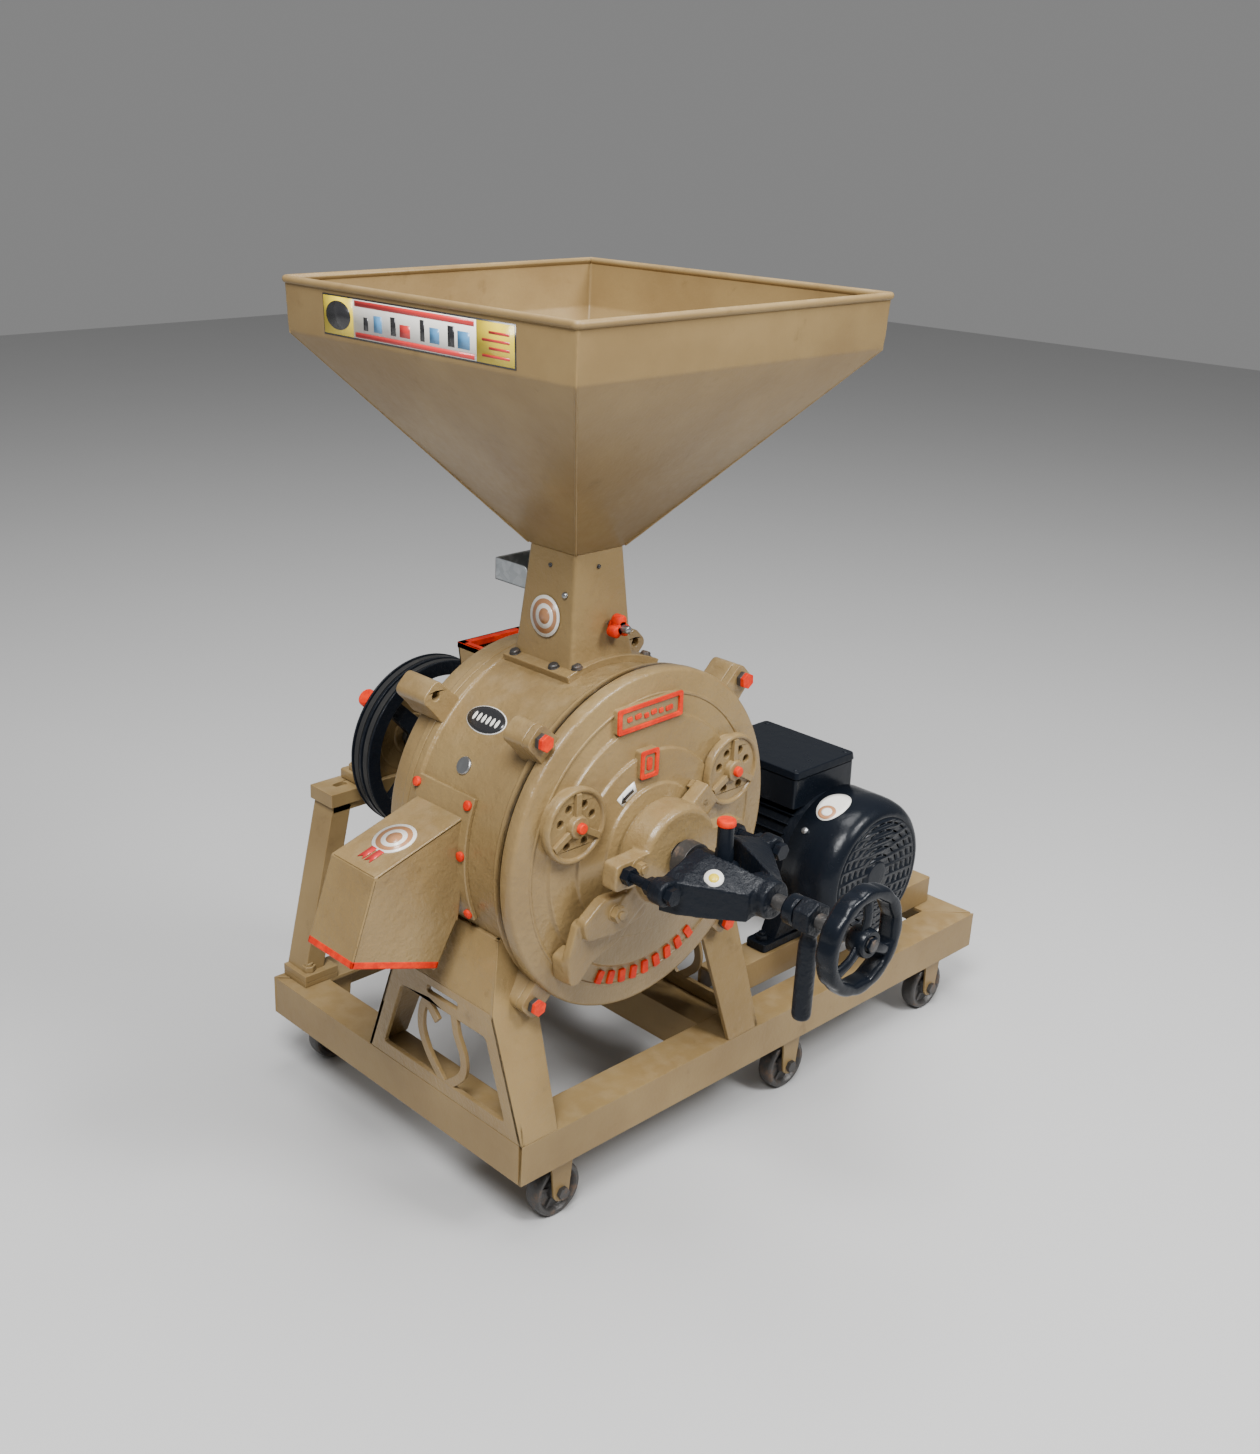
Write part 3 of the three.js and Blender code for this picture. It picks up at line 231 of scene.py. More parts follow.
def black_enamel(name, rough, ripple, grain):
    paint = Finish(name, (0.006, 0.008, 0.012), rough)
    paint.set("Specular IOR Level", 0.2)
    worn = paint.noise(60, 5, 0.7).steps(0.62, 0.8)
    paint.set("Base Color", paint.blend(worn * 0.3, (0.005, 0.007, 0.011), (0.024, 0.026, 0.03)))
    paint.set("Roughness", rough + paint.noise(35, 3) * 0.18)
    paint.set("Normal", paint.bump(paint.noise(grain, 4, 0.6), ripple, 0.9))
    return paint.material


def red_paint():
    paint = Finish("brushed_red", (0.7, 0.03, 0.004), 0.42)
    paint.set("Specular IOR Level", 0.18)
    streaks = paint.noise(55, 4, 0.65)
    paint.set("Base Color", paint.blend(streaks.steps(0.35, 0.7), (0.58, 0.016, 0.002), (0.82, 0.04, 0.004)))
    paint.set("Roughness", 0.3 + streaks * 0.3)
    paint.set("Normal", paint.bump(streaks, 0.0006, 0.8))
    return paint.material


def turned_steel():
    metal = Finish("turned_steel", (0.36, 0.37, 0.38), 0.32, 0.95)
    rings = metal.noise(14, 4, 0.6, metal.stretched(1, 60, 1))
    metal.set(
        "Base Color",
        metal.blend(metal.noise(30, 4).steps(0.5, 0.75) * 0.6, (0.4, 0.41, 0.42), (0.16, 0.12, 0.085)),
    )
    metal.set("Roughness", 0.2 + rings * 0.28)
    metal.set("Normal", metal.bump(rings, 0.0003, 0.6))
    return metal.material


def galvanised():
    metal = Finish("galvanised_sheet", (0.5, 0.53, 0.55), 0.38, 0.8)
    flakes = metal.cells(130, "F1", 1)
    tone = metal.node("ShaderNodeSeparateColor", {}, {0: flakes}, 0)
    metal.set("Base Color", metal.blend(tone * 0.6, (0.42, 0.45, 0.47), (0.64, 0.67, 0.69)))
    metal.set("Roughness", 0.28 + tone * 0.22)
    metal.set("Normal", metal.bump(metal.noise(60, 3), 0.0006, 0.5))
    return metal.material


def cast_iron():
    metal = Finish("rough_cast_iron", (0.075, 0.07, 0.066), 0.55, 0.5)
    rust = metal.noise(45, 5, 0.7).steps(0.5, 0.72)
    metal.set("Base Color", metal.blend(rust * 0.6, (0.075, 0.072, 0.07), (0.19, 0.105, 0.05)))
    metal.set("Roughness", 0.42 + rust * 0.3)
    metal.set("Metallic", 0.65 - rust * 0.5)
    metal.set("Normal", metal.bump(metal.noise(320, 3), 0.0008, 0.8))
    return metal.material


def emery_stone():
    stone = Finish("emery_stone", (0.45, 0.41, 0.34), 0.92)
    grit = stone.cells(420)
    stone.set(
        "Base Color", stone.blend(stone.noise(160, 4).steps(0.35, 0.7), (0.3, 0.27, 0.22), (0.56, 0.52, 0.44))
    )
    stone.set("Normal", stone.bump(grit, 0.0012, 0.8))
    return stone.material


def belt_rubber():
    rubber = Finish("belt_rubber", (0.014, 0.014, 0.014), 0.75)
    weave = rubber.noise(380, 2)
    rubber.set(
        "Base Color",
        rubber.blend(rubber.noise(30, 4).steps(0.5, 0.8) * 0.4, (0.013, 0.013, 0.013), (0.06, 0.055, 0.048)),
    )
    rubber.set("Roughness", 0.6 + weave * 0.25)
    rubber.set("Normal", rubber.bump(weave, 0.0005, 0.7))
    return rubber.material


def printed(name, colour, rough=0.35):
    """Printed sticker paper under a clear film, slightly creased and rubbed."""
    paper = Finish(name, colour, rough, 0.0, 0.3)
    rubbed = paper.noise(150, 4, 0.7).steps(0.55, 0.8)
    darker = tuple(c * 0.72 for c in colour)
    paper.set("Base Color", paper.blend(rubbed * 0.4, colour, darker))
    paper.set("Roughness", rough + rubbed * 0.2)
    paper.set("Normal", paper.bump(paper.noise(90, 3), 0.0003, 0.5))
    return paper.material


CASTING = tan_enamel("tan_enamel_on_casting", 0.0026, 0.3, 55, 0.18)
SHEET = tan_enamel("tan_enamel_on_sheet", 0.001, 0.36, 26, 0.0)
BLACK = black_enamel("black_enamel", 0.16, 0.0008, 60)
BLACK_CAST = black_enamel("black_enamel_on_casting", 0.26, 0.0028, 95)
RED = red_paint()
STEEL = turned_steel()
ZINC = galvanised()
IRON = cast_iron()
STONE = emery_stone()
RUBBER = belt_rubber()
WHITE = printed("white_print", (0.78, 0.76, 0.7))
YELLOW = printed("yellow_print", (0.8, 0.6, 0.03))
INK = printed("black_print", (0.02, 0.02, 0.022), 0.25)
CRIMSON = printed("red_print", (0.62, 0.03, 0.03))
BLUE = printed("blue_print", (0.1, 0.3, 0.55))
COPPER = printed("brown_print", (0.42, 0.2, 0.09))


# ---- Shapes ----

LEVELS = {
    "XY": lambda a, b, level: (a, b, level), "XZ": lambda a, b, level: (a, level, b), "YZ": lambda a, b,
    level: (level, a, b),
}


def on_circle(radius, degrees):
    angle = math.radians(degrees)
    return radius * math.cos(angle), radius * math.sin(angle)


def arc(radius, start, end, steps, centre=(0, 0)):
    points = [on_circle(radius, start + (end - start) * i / steps) for i in range(steps + 1)]
    return [(centre[0] + x, centre[1] + y) for x, y in points]


def ring_of(radius, count=48, centre=(0, 0), turn=0.0):
    return [
        (centre[0] + x, centre[1] + y)
        for x, y in (on_circle(radius, turn + 360 * i / count) for i in range(count))
    ]


def rectangle(x0, x1, y0, y1):
    return [(x0, y0), (x1, y0), (x1, y1), (x0, y1)]


def eased(corners, radius, steps=4):
    """The outline with each corner rounded."""
    made = []
    count = len(corners)
    for i, corner in enumerate(corners):
        here = Vector(corner)
        before = Vector(corners[i - 1]) - here
        after = Vector(corners[(i + 1) % count]) - here
        reach = min(radius, before.length * 0.48, after.length * 0.48)
        start, end = here + before.normalized() * reach, here + after.normalized() * reach
        for k in range(steps + 1):
            t = k / steps
            made.append(tuple(start * (1 - t) ** 2 + here * 2 * t * (1 - t) + end * t ** 2))
    return made


def turned_outline(outline, degrees, centre=(0, 0)):
    c, s = math.cos(math.radians(degrees)), math.sin(math.radians(degrees))
    return [(centre[0] + x * c - y * s, centre[1] + x * s + y * c) for x, y in outline]


class Shape:
    """Solids in millimetres from an origin in the frame, gathered into one piece."""

    def __init__(self, origin):
        self.bm = bmesh.new()
        self.origin = Vector(origin)
        self.finishes = []
        self.paint(CASTING)

    def paint(self, material):
        if material not in self.finishes:
            self.finishes.append(material)
        self.index = self.finishes.index(material)
        return self

    def point(self, place):
        return self.bm.verts.new(Vector(place))

    def face(self, *points):
        made = self.bm.faces.new(points)
        made.material_index = self.index
        made.smooth = True

    def turned(self, corners, centre=(0, 0, 0), along=(0, 1, 0), segments=96, turn=0.0):
        """Closed profile of (radius, distance along the axis) turned about an axis."""
        axis = Vector(along).normalized()
        across = Vector((0, 0, 1)) if abs(axis.z) < 0.9 else Vector((1, 0, 0))
        side = axis.cross(across).normalized()
        across = side.cross(axis)
        rings = []
        for radius, distance in corners:
            heart = Vector(centre) + axis * distance
            if radius < 1e-6:
                rings.append([self.point(heart)] * segments)
                continue
            ring = []
            for i in range(segments):
                x, y = on_circle(radius, turn + 360 * i / segments)
                ring.append(self.point(heart + side * x + across * y))
            rings.append(ring)
        for i, ring in enumerate(rings):
            following = rings[(i + 1) % len(rings)]
            for j in range(segments):
                k = (j + 1) % segments
                corners_here = list(dict.fromkeys((ring[j], ring[k], following[k], following[j])))
                if len(corners_here) > 2:
                    self.face(*corners_here)
        return self

    def rod(self, radius, start, end, segments=32, turn=0.0):
        """Round or many-sided bar between two points."""
        run = Vector(end) - Vector(start)
        profile = [(0, 0), (radius, 0), (radius, run.length), (0, run.length)]
        return self.turned(profile, start, run, segments, turn)

    def plate(self, outline, start, end, plane="XZ", holes=()):
        """Flat plate with any holes, between two levels of the third axis."""
        lay = LEVELS[plane]
        loops = [outline, *holes]
        near = [[self.point(lay(a, b, start)) for a, b in loop] for loop in loops]
        far = [[self.point(lay(a, b, end)) for a, b in loop] for loop in loops]
        for side in (near, far):
            if holes:
                flat = [v for loop in side for v in loop]
                for triangle in tessellate_polygon([[Vector((a, b, 0)) for a, b in loop] for loop in loops]):
                    self.face(*(flat[i] for i in triangle))
            else:
                self.face(*side[0])
        for a, b in zip(near, far):
            for i in range(len(a)):
                j = (i + 1) % len(a)
                self.face(a[i], a[j], b[j], b[i])
        return self

    def block(self, x0, x1, y0, y1, z0, z1):
        return self.plate(rectangle(x0, x1, y0, y1), z0, z1, "XY")

    def skin(self, rings, caps=True, closed=False):
        """Surface over rings of as many points, each ring closed."""
        made = [[self.point(p) for p in ring] for ring in rings]
        pairs = list(zip(made, made[1:])) + ([(made[-1], made[0])] if closed else [])
        for a, b in pairs:
            for i in range(len(a)):
                j = (i + 1) % len(a)
                self.face(a[i], a[j], b[j], b[i])
        if caps and not closed:
            self.face(*made[0])
            self.face(*made[-1])
        return self

    def tapered(self, lower, upper, z0, z1, ease=0.0):
        """Block from one rectangle (x0, x1, y0, y1) up to another."""
        rings = []
        for bounds, z in ((lower, z0), (upper, z1)):
            outline = rectangle(*bounds)
            outline = eased(outline, ease) if ease else outline
            rings.append([(x, y, z) for x, y in outline])
        return self.skin(rings)

    def pipe(self, path, radius, segments=16, closed=False):
        """Round bar along a path of points; radius may be a list."""
        path = [Vector(p) for p in path]
        count = len(path)
        side = None
        rings = []
        for i, p in enumerate(path):
            before = path[i - 1] if i or closed else p
            after = path[(i + 1) % count] if i < count - 1 or closed else p
            along = (after - before).normalized()
            if side is None:
                side = along.orthogonal().normalized()
            side = (side - along * side.dot(along)).normalized()
            other = along.cross(side)
            r = radius[i] if isinstance(radius, list) else radius
            rings.append([p + side * x + other * y for x, y in ring_of(r, segments)])
        return self.skin(rings, closed=closed)

    def made(self, name, body="base_frame", replaces=(), soft=1.2, cast=0.0, angle=32, steps=2, melt=4):
        """The finished piece. soft rounds its edges and cast melts its solids into one casting, in mm."""
        bmesh.ops.transform(
            self.bm, matrix=Matrix.Translation(self.origin) @ Matrix.Scale(0.001, 4), verts=self.bm.verts
        )
        bmesh.ops.recalc_face_normals(self.bm, faces=self.bm.faces)
        mesh = bpy.data.meshes.new(name)
        self.bm.to_mesh(mesh)
        self.bm.free()
        obj = bpy.data.objects.new(name, mesh)
        bpy.context.scene.collection.objects.link(obj)
        used = sorted({f.material_index for f in mesh.polygons})
        for i in used:
            mesh.materials.append(self.finishes[i])
        for f in mesh.polygons:
            f.material_index = used.index(f.material_index)
        if cast:
            join_up = obj.modifiers.new("one_casting", "REMESH")
            join_up.mode = "VOXEL"
            join_up.voxel_size = cast * 0.001
            join_up.use_smooth_shade = True
            melted = obj.modifiers.new("cast_fillets", "SMOOTH")
            melted.factor = 0.5
            melted.iterations = melt
        elif soft:
            edge = obj.modifiers.new("soft_edges", "BEVEL")
            edge.width = soft * 0.001
            edge.segments = steps
            edge.limit_method = "ANGLE"
            edge.angle_limit = math.radians(angle)
            edge.use_clamp_overlap = False
            edge.loop_slide = False
            edge.harden_normals = True
        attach(obj, body)
        if replaces:
            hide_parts(*([replaces] if isinstance(replaces, str) else replaces))
        return obj


def hex_nut(shape, start, along, across, length, bolt=0.0, proud=0.0):
    """Hexagon nut or head at a point, with the bolt's end standing proud."""
    axis = Vector(along).normalized()
    start = Vector(start)
    shape.rod(across / 2 / math.cos(math.radians(30)), start, start + axis * length, 6)
    if bolt:
        shape.rod(bolt, start, start + axis * (length + proud), 20)


# ---- Base, motor rails and casters ----

BASE_LENGTH = (high("base_rail_front").x - low("base_rail_front").x) * 1000
BASE_WIDTH = (high("base_rail_rear").y - FRONT) * 1000
FLANGE = 65
WALL = 6


def base_frame():
    long, wide = BASE_LENGTH, BASE_WIDTH
    for name, y, inward in (("base_rail_front", 0, 1), ("base_rail_rear", wide, -1)):
        rail = Shape(BASE).paint(SHEET)
        section = [(0, 0), (FLANGE, 0), (FLANGE, -WALL), (WALL, -WALL), (WALL, -FLANGE), (0, -FLANGE)]
        ends = []
        for x, run in ((0, 1), (long, -1)):
            ends.append(
                [(x + run * max(a - 0.3, 0) * (b > -WALL - 1), y + inward * a, b) for a, b in section]
            )
        rail.skin(ends).made(name, replaces=name, soft=0.8)
    for name, x, inward in (("base_rail_left", 0, 1), ("base_rail_right", long, -1)):
        rail = Shape(BASE).paint(SHEET)
        section = [(0, 0), (FLANGE, 0), (FLANGE, -WALL), (WALL, -WALL), (WALL, -FLANGE), (0, -FLANGE)]
        ends = []
        for y, run in ((0, 1), (wide, -1)):
            ends.append(
                [
                    (x + inward * a, y + run * (max(a, WALL) + 0.3 if b > -WALL - 1 else WALL + 0.3), b)
                    for a, b in section
                ]
            )
        rail.skin(ends).made(name, replaces=name, soft=0.8)


def cross_member():
    low_corner, high_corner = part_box("base_cross_member")
    x0, y0 = ((low_corner[i] - BASE[i]) * 1000 for i in (0, 1))
    x1, y1 = ((high_corner[i] - BASE[i]) * 1000 for i in (0, 1))
    section = [(x0, 0), (x1, 0), (x1, -WALL), (x0 + WALL, -WALL), (x0 + WALL, -FLANGE), (x0, -FLANGE)]
    angle = Shape(BASE).paint(SHEET)
    angle.plate(section, y0, y1).made("base_cross_member", replaces="base_cross_member", soft=1.4)


def motor_rail(name):
    """Upturned channel under the feet of the motor."""
    low_corner, high_corner = (Vector(c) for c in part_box(name))
    half, height = 26, 50
    length = (high_corner.x - low_corner.x) * 1000
    rail = Shape((low_corner.x, (low_corner.y + high_corner.y) / 2, BASE.z)).paint(SHEET)
    section = [
        (-half, 0.3), (-half, height), (half, height), (half, 0.3), (half - WALL, 0.3),
        (half - WALL, height - WALL), (WALL - half, height - WALL), (WALL - half, 0.3),
    ]
    rail.plate(section, 0, length, "YZ")
    rail.made(name, replaces=name, soft=1.5)


def caster(corner):
    """Cast wheel between two fork legs under a welded plate."""
    heart = middle("caster_wheel_" + corner)
    top = (BASE.z - heart.z) * 1000 - WALL - 0.3
    fork = Shape(heart).paint(SHEET)
    fork.plate(eased(rectangle(-30, 30, -19, 19), 5), top - 5, top, "XY")
    leg = [(-28, top - 4), (28, top - 4), (15, 0), *arc(15, 0, -180, 16), (-15, 0)]
    for y0, y1 in ((-19, -15), (15, 19)):
        fork.plate(leg, y0, y1)
    fork.paint(IRON)
    fork.rod(6, (0, -23, 0), (0, 23, 0), 24)
    for y in (-26, 19):
        hex_nut(fork, (0, y, 0), (0, 1, 0), 18, 7)
    fork.turned([(0, top - 12), (16, top - 12), (18, top - 5), (0, top - 5)], (0, 0, 0), (0, 0, 1), 32)
    fork.made("caster_fork_" + corner, replaces="caster_fork_" + corner, soft=0.8)
    wheel = Shape(heart).paint(IRON)
    half, outer = 13, 43
    wheel.turned(
        [
            (7, -half), (15, -half), (
                16, -half + 5
            ), (17, -5), (30, -5), (33, -half + 2), (35, -half), (40, -half),
            (42.2, -half + 2.5), (
                outer, -half + 6
            ), (outer, half - 6), (42.2, half - 2.5), (40, half), (35, half), (33, half - 2),
            (30, 5), (17, 5), (16, half - 5), (15, half), (7, half),
        ],
        segments=72,
    )
    for turn in (0, 72, 144, 216, 288):
        x, z = on_circle(24, turn + 20)
        wheel.plate(turned_outline(rectangle(-9, 9, -2.5, 2.5), turn + 20, (x, z)), -8, 8)
    wheel.made("caster_wheel_" + corner, "wheel_" + corner, "caster_wheel_" + corner, soft=0.7)


base_frame()
cross_member()
for rail_name in ("motor_rail_front", "motor_rail_rear"):
    motor_rail(rail_name)
for corner_name in ("front_left", "front_middle", "front_right", "rear_left", "rear_middle", "rear_right"):
    caster(corner_name)


# ---- Stand ----

STAND_HALF = 248
STAND_DEPTH = 350
FLOOR = (BASE.z - AXIS.z) * 1000  # the base's top from the shaft axis
PANEL_TOP = FLOOR + 180
SADDLE_TOP = PANEL_TOP + 90


def scroll(points, width, start, end, shape):
    """Flat bar bent through points of the side panel."""
    path = []
    count = len(points)
    for i in range(count - 1):
        p0, p1, p2, p3 = (Vector(points[max(0, min(count - 1, i + k))]) for k in (-1, 0, 1, 2))
        for step in range(8):
            t = step / 8
            path.append(
                0.5 * (
                    2 * p1 + (p2 - p0) * t + (
                        2 * p0 - 5 * p1 + 4 * p2 - p3
                    ) * t * t + (3 * p1 - p0 - 3 * p2 + p3) * t ** 3
                )
            )
    path.append(Vector(points[-1]))
    left, right = [], []
    for i, p in enumerate(path):
        run = (path[min(i + 1, len(path) - 1)] - path[max(i - 1, 0)]).normalized()
        left.append(tuple(p + Vector((-run.y, run.x)) * width / 2))
        right.insert(0, tuple(p - Vector((-run.y, run.x)) * width / 2))
    shape.plate(left + right, start, end, "YZ")


def stand(side, name):
    lean = 0.36
    foot, top = FLOOR + 0.3, PANEL_TOP
    lean_top, lean_saddle = lean * 180, lean * 270
    inward = lambda x: side * (STAND_HALF - x)
    outer, inner = sorted((inward(0), inward(8)))
    stand_shape = Shape(AXIS).paint(CASTING)
    panel = [(0, foot), (STAND_DEPTH, foot), (STAND_DEPTH - lean_top, top), (lean_top, top)]
    window = eased(
        [
            (38, foot + 22), (312, foot + 22), (312 - lean_top * 0.66, top - 42),
            (38 + lean_top * 0.66, top - 42),
        ],
        7,
    )
    slot_hole = eased(rectangle(141, 209, top - 26, top - 14), 5)
    stand_shape.plate(panel, outer, inner, "YZ", [window, slot_hole])
    at = STAND_DEPTH / 2
    for points in (
        [
            (at - 8, foot + 12), (at + 32, foot + 52), (at + 50, foot + 92), (at + 40, top - 46),
            (at + 12, top - 66),
        ],
        [
            (at - 2, foot + 12), (at - 42, foot + 48), (at - 46, foot + 80), (at - 30, top - 66),
            (at - 24, top - 32),
        ],
    ):
        scroll(points, 14, outer + 0.5, inner - 0.5, stand_shape)
    for flip in (False, True):
        place = (lambda y: STAND_DEPTH - y) if flip else (lambda y: y)
        rings = []
        for start, width, y, z in (
            (0, 68, 0, foot), (0, 80, lean_top, top), (36, 114, lean_saddle, SADDLE_TOP)
        ):
            xs = sorted((inward(start), inward(width)))
            ys = sorted((place(y), place(y + 8)))
            rings.append([(x, yy, z) for x, yy in rectangle(*xs, *ys)])
        stand_shape.skin(rings)
    shoulder = []
    for start, y, z in ((0, lean_top, top), (36, lean_saddle, SADDLE_TOP)):
        xs = sorted((inward(start), inward(start + 8)))
        shoulder.append([(x, yy, z) for x, yy in rectangle(*xs, y, STAND_DEPTH - y)])
    stand_shape.skin(shoulder)
    stand_shape.made(name, replaces=name, soft=1.3)


# ---- Casing ----

DOOR = 250
BARREL = 235
LUGS = (45, 135, 225, 315)
SEAM = 268
REAR = 312


def lug(degrees, near=BARREL - 9, grow=0.0):
    """Outline of a bolt lug standing out of the barrel."""
    half, reach = 19.6 + grow, 291 + grow
    corners = [(near, -half - 4), (258, -half), (reach, -half), (reach, half), (258, half), (near, half + 4)]
    return turned_outline(eased(corners, 13, 6), degrees)


def front_shell():
    shell = Shape(AXIS).paint(CASTING)
    inside = BARREL - 12
    shell.turned(
        [
            (inside, 54.3), (
                DOOR - 3, 54.3
            ), (DOOR - 2, 56), (DOOR - 2, 69), (DOOR - 4, 71.5), (BARREL + 6, 73),
            (BARREL + 1.5, 75.5), (BARREL, 80), (BARREL, SEAM - 15), (
                BARREL + 4, SEAM - 12
            ), (BARREL + 4, SEAM), (inside, SEAM),
        ],
        segments=144,
    )
    for degrees in LUGS:
        shell.plate(lug(degrees), 54.4, 93)
    shell.made("front_shell", replaces="front_shell", soft=2.0, steps=3, angle=38)


def rear_shell():
    shell = Shape(AXIS).paint(CASTING)
    inside = BARREL - 12
    shell.turned(
        [
            (20, REAR - 12), (inside, REAR - 12), (inside, SEAM + 0.3), (
                BARREL + 4, SEAM + 0.3
            ), (BARREL + 4, SEAM + 12),
            (BARREL, SEAM + 15), (BARREL, REAR - 7), (
                BARREL - 2, REAR - 2
            ), (BARREL - 7, REAR), (56, REAR), (52, REAR + 4),
            (50, REAR + 20), (48, REAR + 22), (20, REAR + 22),
        ],
        segments=144,
    )
    for degrees in LUGS:
        x, z = on_circle(275, degrees)
        shell.plate(lug(degrees, BARREL - 2), SEAM - 13, REAR + 7, "XZ", [ring_of(6.5, 24, (x, z))])
    for degrees in range(0, 360, 60):
        x, z = on_circle(140, degrees + 30)
        wx, wz = on_circle(5, degrees + 120)
        a, b = on_circle(54, degrees + 30), on_circle(226, degrees + 30)
        rib = [(a[0] - wx, a[1] - wz), (b[0] - wx, b[1] - wz), (b[0] + wx, b[1] + wz), (a[0] + wx, a[1] + wz)]
        if degrees not in (60,):
            shell.plate(rib, REAR - 2, REAR + 6)
    shell.made("rear_shell", replaces="rear_shell", soft=1.8, steps=3, angle=38)


def front_door():
    """Cast door in steps that rise towards the shaft, with ears for the bolts and pads for the clamps."""
    door = Shape(AXIS).paint(CASTING)
    door.turned(
        [
            (24, 54), (DOOR - 1, 54), (DOOR, 52), (DOOR, 37), (
                DOOR - 2, 33.5
            ), (DOOR - 6, 32), (190, 32), (187, 30.5),
            (185, 26.8), (182, 26), (143, 26), (140, 25), (138, 21),
            (135, 20), (95, 20), (92, 19), (90, 15), (87, 14),
            (68.5, 14), (67, 13), (65.5, 9), (64, 8), (24, 8),
        ],
        segments=160,
    )
    door.turned([(212, 33), (214, 30.6), (217, 30.6), (219, 33)], segments=160)
    for degrees in LUGS:
        door.plate(lug(degrees, BARREL - 4), 42, 54)
    for side in (-1, 1):
        door.turned([(0, 40), (49, 40), (47, 20.5), (45, 20), (0, 20)], (side * 154, 0, 74), segments=64)
    door.made("front_door", replaces="front_door", soft=1.0, angle=40)


def door_plates():
    """Raised name panel, number box and a row of raised blocks, picked out in red."""
    plates = Shape(AXIS).paint(CASTING)
    panel = eased(turned_outline(rectangle(-62, 62, -18, 18), 1.5, (-11, 196)), 4)
    inner = eased(turned_outline(rectangle(-55, 55, -12, 12), 1.5, (-11, 196)), 3)
    plates.plate(panel, 24.6, 34)
    plates.paint(RED)
    plates.plate(panel, 21.6, 25, "XZ", [inner])
    for x, wide, z in (
        (-50, 9, 195), (-34, 11, 196), (-18, 8, 194), (-4, 10, 196), (10, 8, 195), (26, 13, 195)
    ):
        plates.plate(eased(turned_outline(rectangle(-wide / 2, wide / 2, -3.5, 3.5), 8, (x, z)), 2), 22.8, 25)
    box = eased(rectangle(-34, 0, 106, 147), 4)
    plates.paint(CASTING).plate(box, 15.5, 28)
    plates.paint(RED)
    plates.plate(box, 13, 16, "XZ", [eased(rectangle(-28, -6, 112, 141), 4)])
    plates.plate(eased(rectangle(-22, -12, 117, 136), 4), 14, 16)
    for i in range(9):
        degrees = 247 + i * 6.6
        place = on_circle(204, degrees)
        plates.plate(
            eased(turned_outline(rectangle(-6, 6, -10, 10), degrees + 90 + (i % 3 - 1) * 6, place), 2.5),
            28.4, 33,
        )
    plates.made("door_raised_panels", soft=0.7)


def door_stickers():
    """Curved arrow for the turning direction, on the inner step."""
    label = Shape(AXIS).paint(WHITE)
    label.plate([*arc(112, 111, 130, 12), *arc(90, 130, 111, 12)], 19.7, 20.1)
    label.paint(INK)
    label.plate([*arc(104, 114, 125, 10), *arc(98, 125, 114, 10)], 19.45, 19.8)
    label.plate([on_circle(108, 124.5), on_circle(94, 124.5), on_circle(100, 129.4)], 19.45, 19.8)
    label.made("turning_arrow_sticker", soft=0)


def door_bolt(number, degrees):
    x, z = on_circle(275, degrees)
    head = 42 - 0.3
    bolt = Shape(AXIS + Vector((x, 0, z)) * 0.001).paint(RED)
    bolt.rod(12, (0, head - 7, 0), (0, head - 13.6, 0), 6, 15 + number * 9)
    bolt.paint(IRON).rod(12, (0, head, 0), (0, head - 7.2, 0), 6, 15 + number * 9)
    bolt.rod(7.7, (0, head, 0), (0, 84, 0))
    name = "door_bolt_%d" % number
    bolt.made(name, replaces=name, soft=0.9)


def stone_clamp(side, name):
    """Round spider plate over the end of a stone bolt: raised rim, ribs, holes and a painted stud."""
    x, z = side * 154, 74
    clamp = Shape(AXIS + Vector((x, 0, z)) * 0.001).paint(CASTING)
    holes = [ring_of(6.2, 20, on_circle(30, a)) for a in (18, 62, 118, 162, 238, 302)]
    clamp.plate(ring_of(50, 72), 12.7, 19.7, "XZ", holes)
    clamp.turned(
        [(44, 19), (54, 19.6), (54, 12), (52.5, 9.5), (50, 8.6), (47.5, 9.5), (45.5, 12.5)], segments=96
    )
    for degrees in (90, 210, 330):
        a, b = on_circle(8, degrees), on_circle(47, degrees)
        wx, wz = on_circle(4.5, degrees + 90)
        clamp.plate(
            [(a[0] - wx, a[1] - wz), (b[0] - wx, b[1] - wz), (b[0] + wx, b[1] + wz), (a[0] + wx, a[1] + wz)],
            7.2, 14,
        )
    clamp.turned([(0, 14), (17, 14), (15.5, 5), (14, 3.6), (0, 3.6)], segments=48)
    clamp.paint(RED)
    clamp.turned([(0, 4), (7.6, 4), (7.6, -1.5), (6.4, -3), (0, -3)], segments=32)
    clamp.made(name, replaces=name, soft=0.9)


def air_inlet():
    """Tapered sheet box behind the casing, open at the top, with painted lips and a black sheet on its floor
    as painted shade for the dark throat into the casing.
    """
    foot, top = BARREL - 85, BARREL - 17
    inlet = Shape(AXIS).paint(SHEET)
    y0, y1 = REAR + 0.3, REAR + 58
    for bounds in ((-62, -58, y0, y1), (58, 62, y0, y1)):
        lower = (*bounds[:2], y0, y1 - 14)
        inlet.tapered(lower, bounds, foot, top)
    inlet.tapered((-62, 62, y1 - 18, y1 - 14), (-62, 62, y1 - 4, y1), foot, top)
    inlet.tapered((-62, 62, y0, y0 + 3), (-62, 62, y0, y0 + 3), foot, top)
    inlet.tapered((-62, 62, y0, y1 - 14), (-62, 62, y0, y1 - 13), foot, foot + 4)
    inlet.paint(RED)
    for corners in (
        rectangle(-62, 62, y1 - 14, y1), rectangle(-62, 62, y0, y0 + 8),
        rectangle(-62, -49, y0, y1), rectangle(49, 62, y0, y1),
    ):
        inlet.plate(corners, top - 9, top, "XY")
    # black sheet: painted shade standing in for the dark opening into the casing
    inlet.paint(BLACK).plate(rectangle(-58, 58, y0 + 3, y1 - 16), foot + 5, foot + 8, "XY")
    inlet.made("air_inlet", replaces="air_inlet", soft=0.8)


